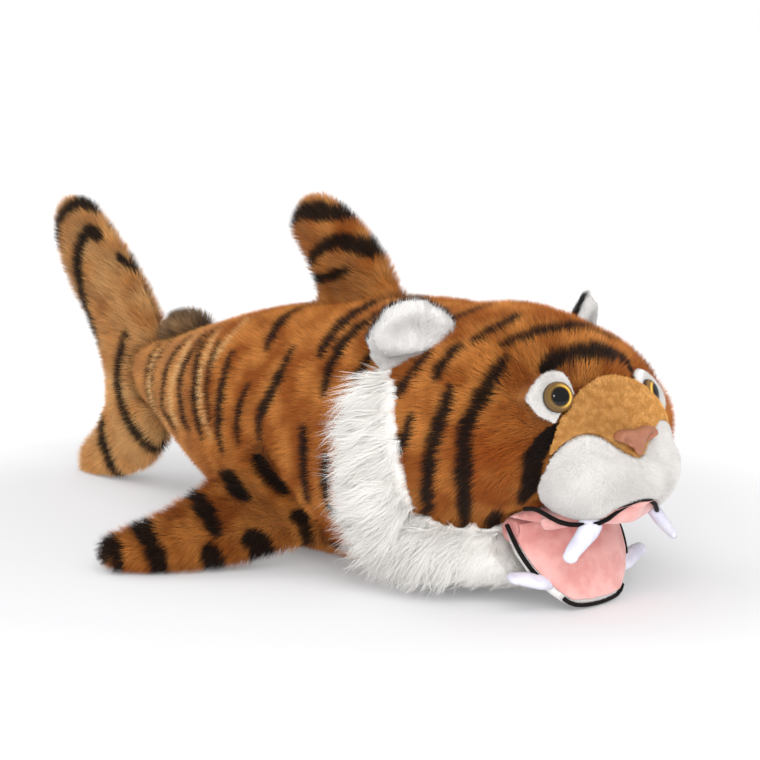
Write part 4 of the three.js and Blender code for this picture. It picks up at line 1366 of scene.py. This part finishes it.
    def _patch(self, side: str, sign: int) -> None:
        """Makes the white plush patch round one eye, a little wider than its solid.

        Args:
            side: "right" or "left".
            sign: -1 for the right side, 1 for the left.
        """
        node = f"{side}_eye_patch"
        piece = self.skins.copy(f"{side}_patch_plush", (node,), voxel=0.7 * MM, relax=8)
        places = places_of(piece.data)
        eye = places_of(*solids(f"{side}_eye"))
        outward = unit(np.array((self.eye_aim[0] * sign, *self.eye_aim[1:])))
        offsets = places - eye[np.argmin(eye[:, 1])]
        flat = offsets - np.outer(offsets @ outward, outward)
        off = np.maximum(np.linalg.norm(flat, axis=1), MM)
        wanted = off * self.patch_growth
        beyond = self.patch_core + (wanted - self.patch_core) * self.patch_rim
        wanted = np.where(wanted > self.patch_core, beyond, wanted)
        places = places + flat * (wanted / off - 1)[:, None]
        move(piece.data, places + self._tilt(places))
        self.skins.grow(piece, SHORT_PILE, self.dyes.white, self._away)
        seat(piece, "torso", "white_plush", node)

    def _ear(self, side: str, sign: int) -> None:
        """Makes one ear: a white cupped front, and a dark back with a fringe.

        Args:
            side: "right" or "left".
            sign: -1 for the right side, 1 for the left.
        """
        nodes = (f"{side}_ear_back", f"{side}_ear_lining")
        piece = self.skins.copy(f"{side}_ear_plush", nodes, voxel=1.3 * MM, relax=6)
        places = places_of(piece.data)
        outward = np.array((sign, 1, 1))
        front = unit(np.array(self.ear_look) * outward)
        middle = places.mean(axis=0)
        turn = np.array(Matrix.Rotation(self.ear_turn * sign, 3, Vector(front)))
        places = middle + (places - middle) @ turn.T * self.ear_growth + np.array(self.ear_shift) * outward
        tuck = smoothstep(middle[2] - places[:, 2], *self.ear_tuck)
        places -= np.outer(tuck, front) * self.ear_tuck_depth
        if sign > 0:
            places[:, 2] -= self.far_ear_sag
        move(piece.data, places)
        seen = normals_of(piece.data) @ front
        facing = smoothstep(seen, 0.05, 0.5)
        middle = places.mean(axis=0) + np.array(mm(0, 0, 4))
        cup = 1 - smoothstep(np.linalg.norm(places - middle, axis=1), *self.ear_cup)
        inward = (places - middle) @ np.array((-0.8 * sign, -0.56, 0))
        fold = np.exp(-((inward - self.ear_fold[0]) / self.ear_fold[1]) ** 2)
        raised = (fold * self.ear_fold_height - cup * self.ear_cup_depth) * facing
        move(piece.data, places + front * raised[:, None])

        def flow(spots: Array, normals: Array) -> Array:
            """Brushes the fur from the ear's middle to its rim."""
            return unit(spots - middle) * 0.5 + np.array((0, 0, 1.0))

        cut = 0.3 + 0.6 * (1 - smoothstep(seen, -0.8, -0.2))
        masks = {"stripe": 1 - smoothstep(seen, -0.75, -0.45)}
        self.skins.grow(piece, EAR_PILE, self.dyes.ear, flow, masks, cut)
        seat(piece, "torso", "white_plush", *nodes)

    def _nose(self) -> None:
        """Makes the moulded nose, with a dent under each wing and a raised middle."""
        piece = self.skins.copy("nose_vinyl_mould", ("nose",), voxel=0.5 * MM, relax=5)
        places = places_of(piece.data)
        ahead = smoothstep(-normals_of(piece.data)[:, 1], 0.1, 0.7)
        off = np.hypot(np.abs(places[:, 0]) - self.nose_dent[0], places[:, 2] - self.nose_dent[1])
        places[:, 1] += self.nose_dent_depth * np.exp(-(off / self.nose_dent_reach) ** 2) * ahead
        places[:, 0] *= 1 - 0.38 * smoothstep(self.nose_waist - places[:, 2], 0, 5 * MM)
        move(piece.data, places)
        piece.data.materials.append(self.dyes.vinyl)
        seat(piece, "torso", "nose_vinyl", "nose")


@dataclass
class Mouth(Maker):
    """The open mouth: palate, lower jaw, linings, piping and fangs."""

    hinge: Place = mm(0, -249.6, 52)
    corner: float = 12 * MM
    corner_half: float = 47.5 * MM
    palate_hang: float = 11 * MM
    palate_half: float = 33 * MM
    palate_seam: Span = mm(0.4, 4.5)
    widens: Span = mm(-302, -282)
    narrows: Span = mm(-262, -250)
    side_starts: Span = mm(-312, -282)
    side_ends: Span = mm(-270, -250)
    front_ends: Span = mm(-290, -260)
    palate_fixed: tuple[str, ...] = ("upper_lip", "right_upper_fang", "left_upper_fang")
    piping_rise: float = 5 * MM
    piping_ends: Span = mm(-300, -280)
    fang_swell: float = 0.9 * MM

    def build(self) -> None:
        """Makes the mouth's pieces."""
        pink, trim, satin = self.dyes.pink, self.dyes.trim, self.dyes.satin
        self._jaw()
        self._plain("palate_cloth", "palate_lining", "torso", pink, "pink_cloth", 0.9 * MM, 6,
                    shape=self._hang)
        self._plain("jaw_cloth", "jaw_lining", "jaw", pink, "pink_cloth", 0.9 * MM, 6)
        self._plain("upper_lip_piping", "upper_lip", "torso", trim, "black_trim", 0.45 * MM, 4,
                    shape=self._raise_ends)
        for node in ("lower_lip", "right_lower_lip", "left_lower_lip"):
            self._plain(f"{node}_piping", node, "jaw", trim, "black_trim", 0.45 * MM, 4)
        for side, _ in SIDES:
            for level, body in (("upper", "torso"), ("lower", "jaw")):
                node = f"{side}_{level}_fang"
                self._plain(f"{node}_satin", node, body, satin, "fang_satin", 0.7 * MM, 6, -self.fang_swell)

    def _jaw(self) -> None:
        """Makes the lower jaw's white plush, which is pink inside the corners of the mouth."""
        piece = self.skins.copy("jaw_plush", ("lower_jaw",), voxel=1.2 * MM, relax=8, sink=SHORT_SINK)
        places = places_of(piece.data)
        root = np.hypot(places[:, 1] - self.hinge[1], places[:, 2] - self.hinge[2])
        inner = (root < self.corner) & (np.abs(places[:, 0]) < self.corner_half)
        self.skins.grow(
            piece, SHORT_PILE, self.dyes.jaw, steady(0.0, 0.5, -0.8), {"pale": inner.astype(float)})
        seat(piece, "jaw", "white_plush", "lower_jaw")

    def _hang(self, mesh: Mesh) -> None:
        """Lets the palate hang like a pillow below the black trim.

        Args:
            mesh: The palate's mesh.
        """
        places = places_of(mesh)
        back = places[:, 1]
        places[:, 0] *= 1 + 0.6 * smoothstep(back, *self.widens) - 0.3 * smoothstep(back, *self.narrows)
        under = smoothstep(-normals_of(mesh)[:, 2], 0.0, 0.5)
        edge = smoothstep(gap_to(places, self.palate_fixed), *self.palate_seam)
        side = smoothstep(back, *self.side_starts) * (1 - smoothstep(back, *self.side_ends))
        dome = np.clip(1 - (places[:, 0] / self.palate_half) ** 2, 0, 1)
        front = dome * (1 - smoothstep(back, *self.front_ends))
        places[:, 2] -= self.palate_hang * under * edge * np.maximum(np.maximum(0.8 * side, front), 0.2)
        move(mesh, places)
        soften(mesh, 24)

    def _raise_ends(self, mesh: Mesh) -> None:
        """Raises the ends of the upper lip's piping to the edge of the cheeks.

        Args:
            mesh: The piping's mesh.
        """
        places = places_of(mesh)
        places[:, 2] += self.piping_rise * smoothstep(places[:, 1], *self.piping_ends)
        move(mesh, places)

    def _plain(self, name: str, node: str, body: str, dye: Material, slot: str, voxel: float,
               relax: int, sink: float = 0.0, shape: Callable[[Mesh], None] | None = None) -> None:
        """Makes a piece of smooth cloth from its solid.

        Args:
            name: The piece's name.
            node: Its solid.
            body: The body that it rides on.
            dye: Its material.
            slot: Its material slot.
            voxel: How fine it is, in metres.
            relax: How many times it is smoothed.
            sink: How deep it lies under the solid's surface.
            shape: Changes its mesh, or None.
        """
        piece = self.skins.copy(name, (node,), voxel, relax, sink)
        if shape is not None:
            shape(piece.data)
        piece.data.materials.append(dye)
        seat(piece, body, slot, node)


@dataclass
class Ruff(Maker):
    """The long white ruff: two crests behind the cheeks and a throat piece."""

    pile: Pile = Pile(
        length=31 * MM, width=0.46 * MM, density=1.15e6, lift=0.55, droop=0.35, stray=0.8,
        tuft=9 * MM, tuft_pull=3.4, wave=0.9, joints=3,
    )
    sink: float = 6 * MM
    rim_nodes: tuple[str, ...] = ("head_skin", "lower_jaw")
    rim_dive: float = 2.5 * MM
    rim: Span = mm(2, 12)
    rim_fur: Span = mm(2, 10)
    throat_back: Span = mm(-255, -200)
    throat_side: Span = mm(30, 75)

    def build(self) -> None:
        """Makes the ruff's pieces."""
        for side, sign in SIDES:
            node = f"{side}_ruff_crest"
            piece = self._skin(f"{side}_crest_fur", node)
            swept = steady(0.35 * sign, 0.8, -0.5)
            self.skins.grow(piece, self.pile, self.dyes.ruff, swept, cut=self._rim_cut(piece))
            seat(piece, "torso", "white_plush", node)
        piece = self._skin("throat_fur", "throat_ruff")
        cut = self._throat_cut(piece) * self._rim_cut(piece)
        self.skins.grow(piece, self.pile, self.dyes.ruff, self._down, cut=cut)
        seat(piece, "torso", "white_plush", "throat_ruff")

    def _skin(self, name: str, node: str) -> Object:
        """Makes a skin of the ruff, whose rim dives under the fur of the head.

        Args:
            name: The piece's name.
            node: Its solid.

        Returns:
            The skin.
        """
        piece = self.skins.copy(name, (node,), voxel=2 * MM, relax=20, sink=self.sink)
        places = places_of(piece.data)
        dive = self.rim_dive * (1 - smoothstep(gap_to(places, self.rim_nodes), *self.rim))
        move(piece.data, places - normals_of(piece.data) * dive[:, None])
        soften(piece.data, 6)
        return piece

    def _rim_cut(self, piece: Object) -> Array:
        """Shortens the fur where it meets the head, and makes its ends uneven.

        Args:
            piece: The skin.

        Returns:
            How long the fur is at each point, as a share.
        """
        places = places_of(piece.data)
        inner = smoothstep(gap_to(places, self.rim_nodes), *self.rim_fur)
        return 0.28 + 0.72 * inner * (0.75 + 0.5 * wobble(places, 9 * MM, 7.7))

    def _down(self, spots: Array, normals: Array) -> Array:
        """Brushes the throat's fur outwards and down."""
        return np.sign(spots[:, :1]) * (0.5, 0, 0) + np.array((0, 0.25, -0.7))

    def _throat_cut(self, piece: Object) -> Array:
        """Shortens the throat's fur near the mouth and the ground.

        Args:
            piece: The skin.

        Returns:
            How long the fur is at each point, as a share.
        """
        places = places_of(piece.data)
        back = smoothstep(places[:, 1], *self.throat_back)
        return 0.18 + 0.82 * back * smoothstep(np.abs(places[:, 0]), *self.throat_side)


@dataclass
class Studio:
    """The camera, floor and lights."""

    target: Place = mm(13.4, -57.9, 118.9)
    distance: float = 1.7248
    azimuth: float = math.radians(-42)
    elevation: float = math.radians(10)
    lens: float = 113.7
    sensor: float = 36
    lamps: tuple[tuple[str, Place, float, float], ...] = (
        ("key", (-0.9, -1.5, 1.7), 1.6, 24),
        ("fill", (0.9, -1.9, 0.5), 1.4, 9),
        ("low_fill", (-1.5, -1.5, 0.3), 1.0, 18),
        ("back", (-0.6, 1.5, 1.5), 1.4, 14),
        ("spark", (-1.08, -1.5, 0.86), 0.18, 2.5),
    )
    mirrored_lamp: str = "spark"
    floor_reach: float = 6.0
    floor_colour: tuple = paint(236, 236, 238)
    floor_glow: float = 1.12
    shadow_reach: Span = (0.27, 0.56)
    even_light: float = 0.55
    white: tuple = (1, 1, 1, 1)

    def build(self) -> None:
        """Makes the camera, floor and lights."""
        self._camera()
        self._floor()
        for lamp in self.lamps:
            self._lamp(*lamp)
        self._world()

    def _placed(self, name: str, data: ID, place: Vector, look: Vector) -> Object:
        """Puts a camera or lamp into the scene.

        Args:
            name: Its name.
            data: The camera or light.
            place: Where it is, in metres.
            look: The way that it looks.

        Returns:
            The object.
        """
        item = linked(name, data)
        item.location = place
        item.rotation_mode = "QUATERNION"
        item.rotation_quaternion = look.to_track_quat("-Z", "Y")
        return item

    def _camera(self) -> None:
        """Places the camera as the photograph's was fitted."""
        back = Vector((
            math.sin(self.azimuth) * math.cos(self.elevation),
            -math.cos(self.azimuth) * math.cos(self.elevation),
            math.sin(self.elevation),
        ))
        data = bpy.data.cameras.new("camera")
        data.lens = self.lens
        data.sensor_width = self.sensor
        place = Vector(self.target) + back * self.distance
        bpy.context.scene.camera = self._placed("camera", data, place, -back)

    def _floor(self) -> None:
        """Lays a pale floor that keeps the toy's shadow and fades to white away from it."""
        mesh = bpy.data.meshes.new("floor")
        far = self.floor_reach
        mesh.from_pydata([(-far, -far, 0), (far, -far, 0), (far, far, 0), (-far, far, 0)], [], [(0, 1, 2, 3)])
        floor = linked("floor", mesh)
        material = bpy.data.materials.new("pale_floor")
        graph = Graph.emptied(material)
        plain = graph.signal("ShaderNodeBsdfDiffuse", inputs={"Color": self.floor_colour})
        glow = graph.signal("ShaderNodeEmission", inputs={"Color": self.white, "Strength": self.floor_glow})
        seen = graph.signal("ShaderNodeLightPath", output="Is Camera Ray")
        place = graph.signal("ShaderNodeTexCoord", output="Object")
        away = graph.signal("ShaderNodeVectorMath", {"operation": "LENGTH"}, {0: place}, output="Value")
        share = seen * (0.16 + 0.84 * away.step(*self.shadow_reach))
        both = graph.signal("ShaderNodeMixShader", inputs={0: share, 1: plain, 2: glow})
        graph.node("ShaderNodeOutputMaterial", inputs={0: both})
        mesh.materials.append(material)

    def _lamp(self, name: str, place: Place, size: float, power: float) -> None:
        """Hangs one soft lamp that looks at the toy.

        Args:
            name: The lamp's name.
            place: Where it hangs, in metres.
            size: The side of its square face.
            power: Its power in watts.
        """
        data = bpy.data.lights.new(name, "AREA")
        data.shape = "SQUARE"
        data.size = size
        data.energy = power
        lamp = self._placed(name, data, Vector(place), Vector(self.target) - Vector(place))
        lamp.visible_glossy = name == self.mirrored_lamp

    def _world(self) -> None:
        """Gives a white background and a soft even light."""
        world = bpy.data.worlds.new("studio")
        bpy.context.scene.world = world
        graph = Graph.emptied(world)
        outputs = graph.node("ShaderNodeLightPath").outputs
        seen = Signal(graph, outputs["Is Camera Ray"]) + Signal(graph, outputs["Is Transmission Ray"])
        even, white = (
            graph.signal("ShaderNodeBackground", inputs={"Color": self.white, "Strength": strength})
            for strength in (self.even_light, 1.0)
        )
        both = graph.signal("ShaderNodeMixShader", inputs={0: seen, 1: even, 2: white})
        graph.node("ShaderNodeOutputWorld", inputs={0: both})


def main() -> None:
    """Builds the dressed toy and its studio."""
    logging.basicConfig(level=logging.INFO, format="%(message)s")
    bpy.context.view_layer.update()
    dyes = Dyes()
    skins = Skins()
    for maker in (Trunk(dyes, skins), Head(dyes, skins), Mouth(dyes, skins), Ruff(dyes, skins)):
        maker.build()
    Studio().build()
    scene = bpy.context.scene
    scene.view_settings.view_transform = "Standard"


if __name__ == "__main__":
    main()
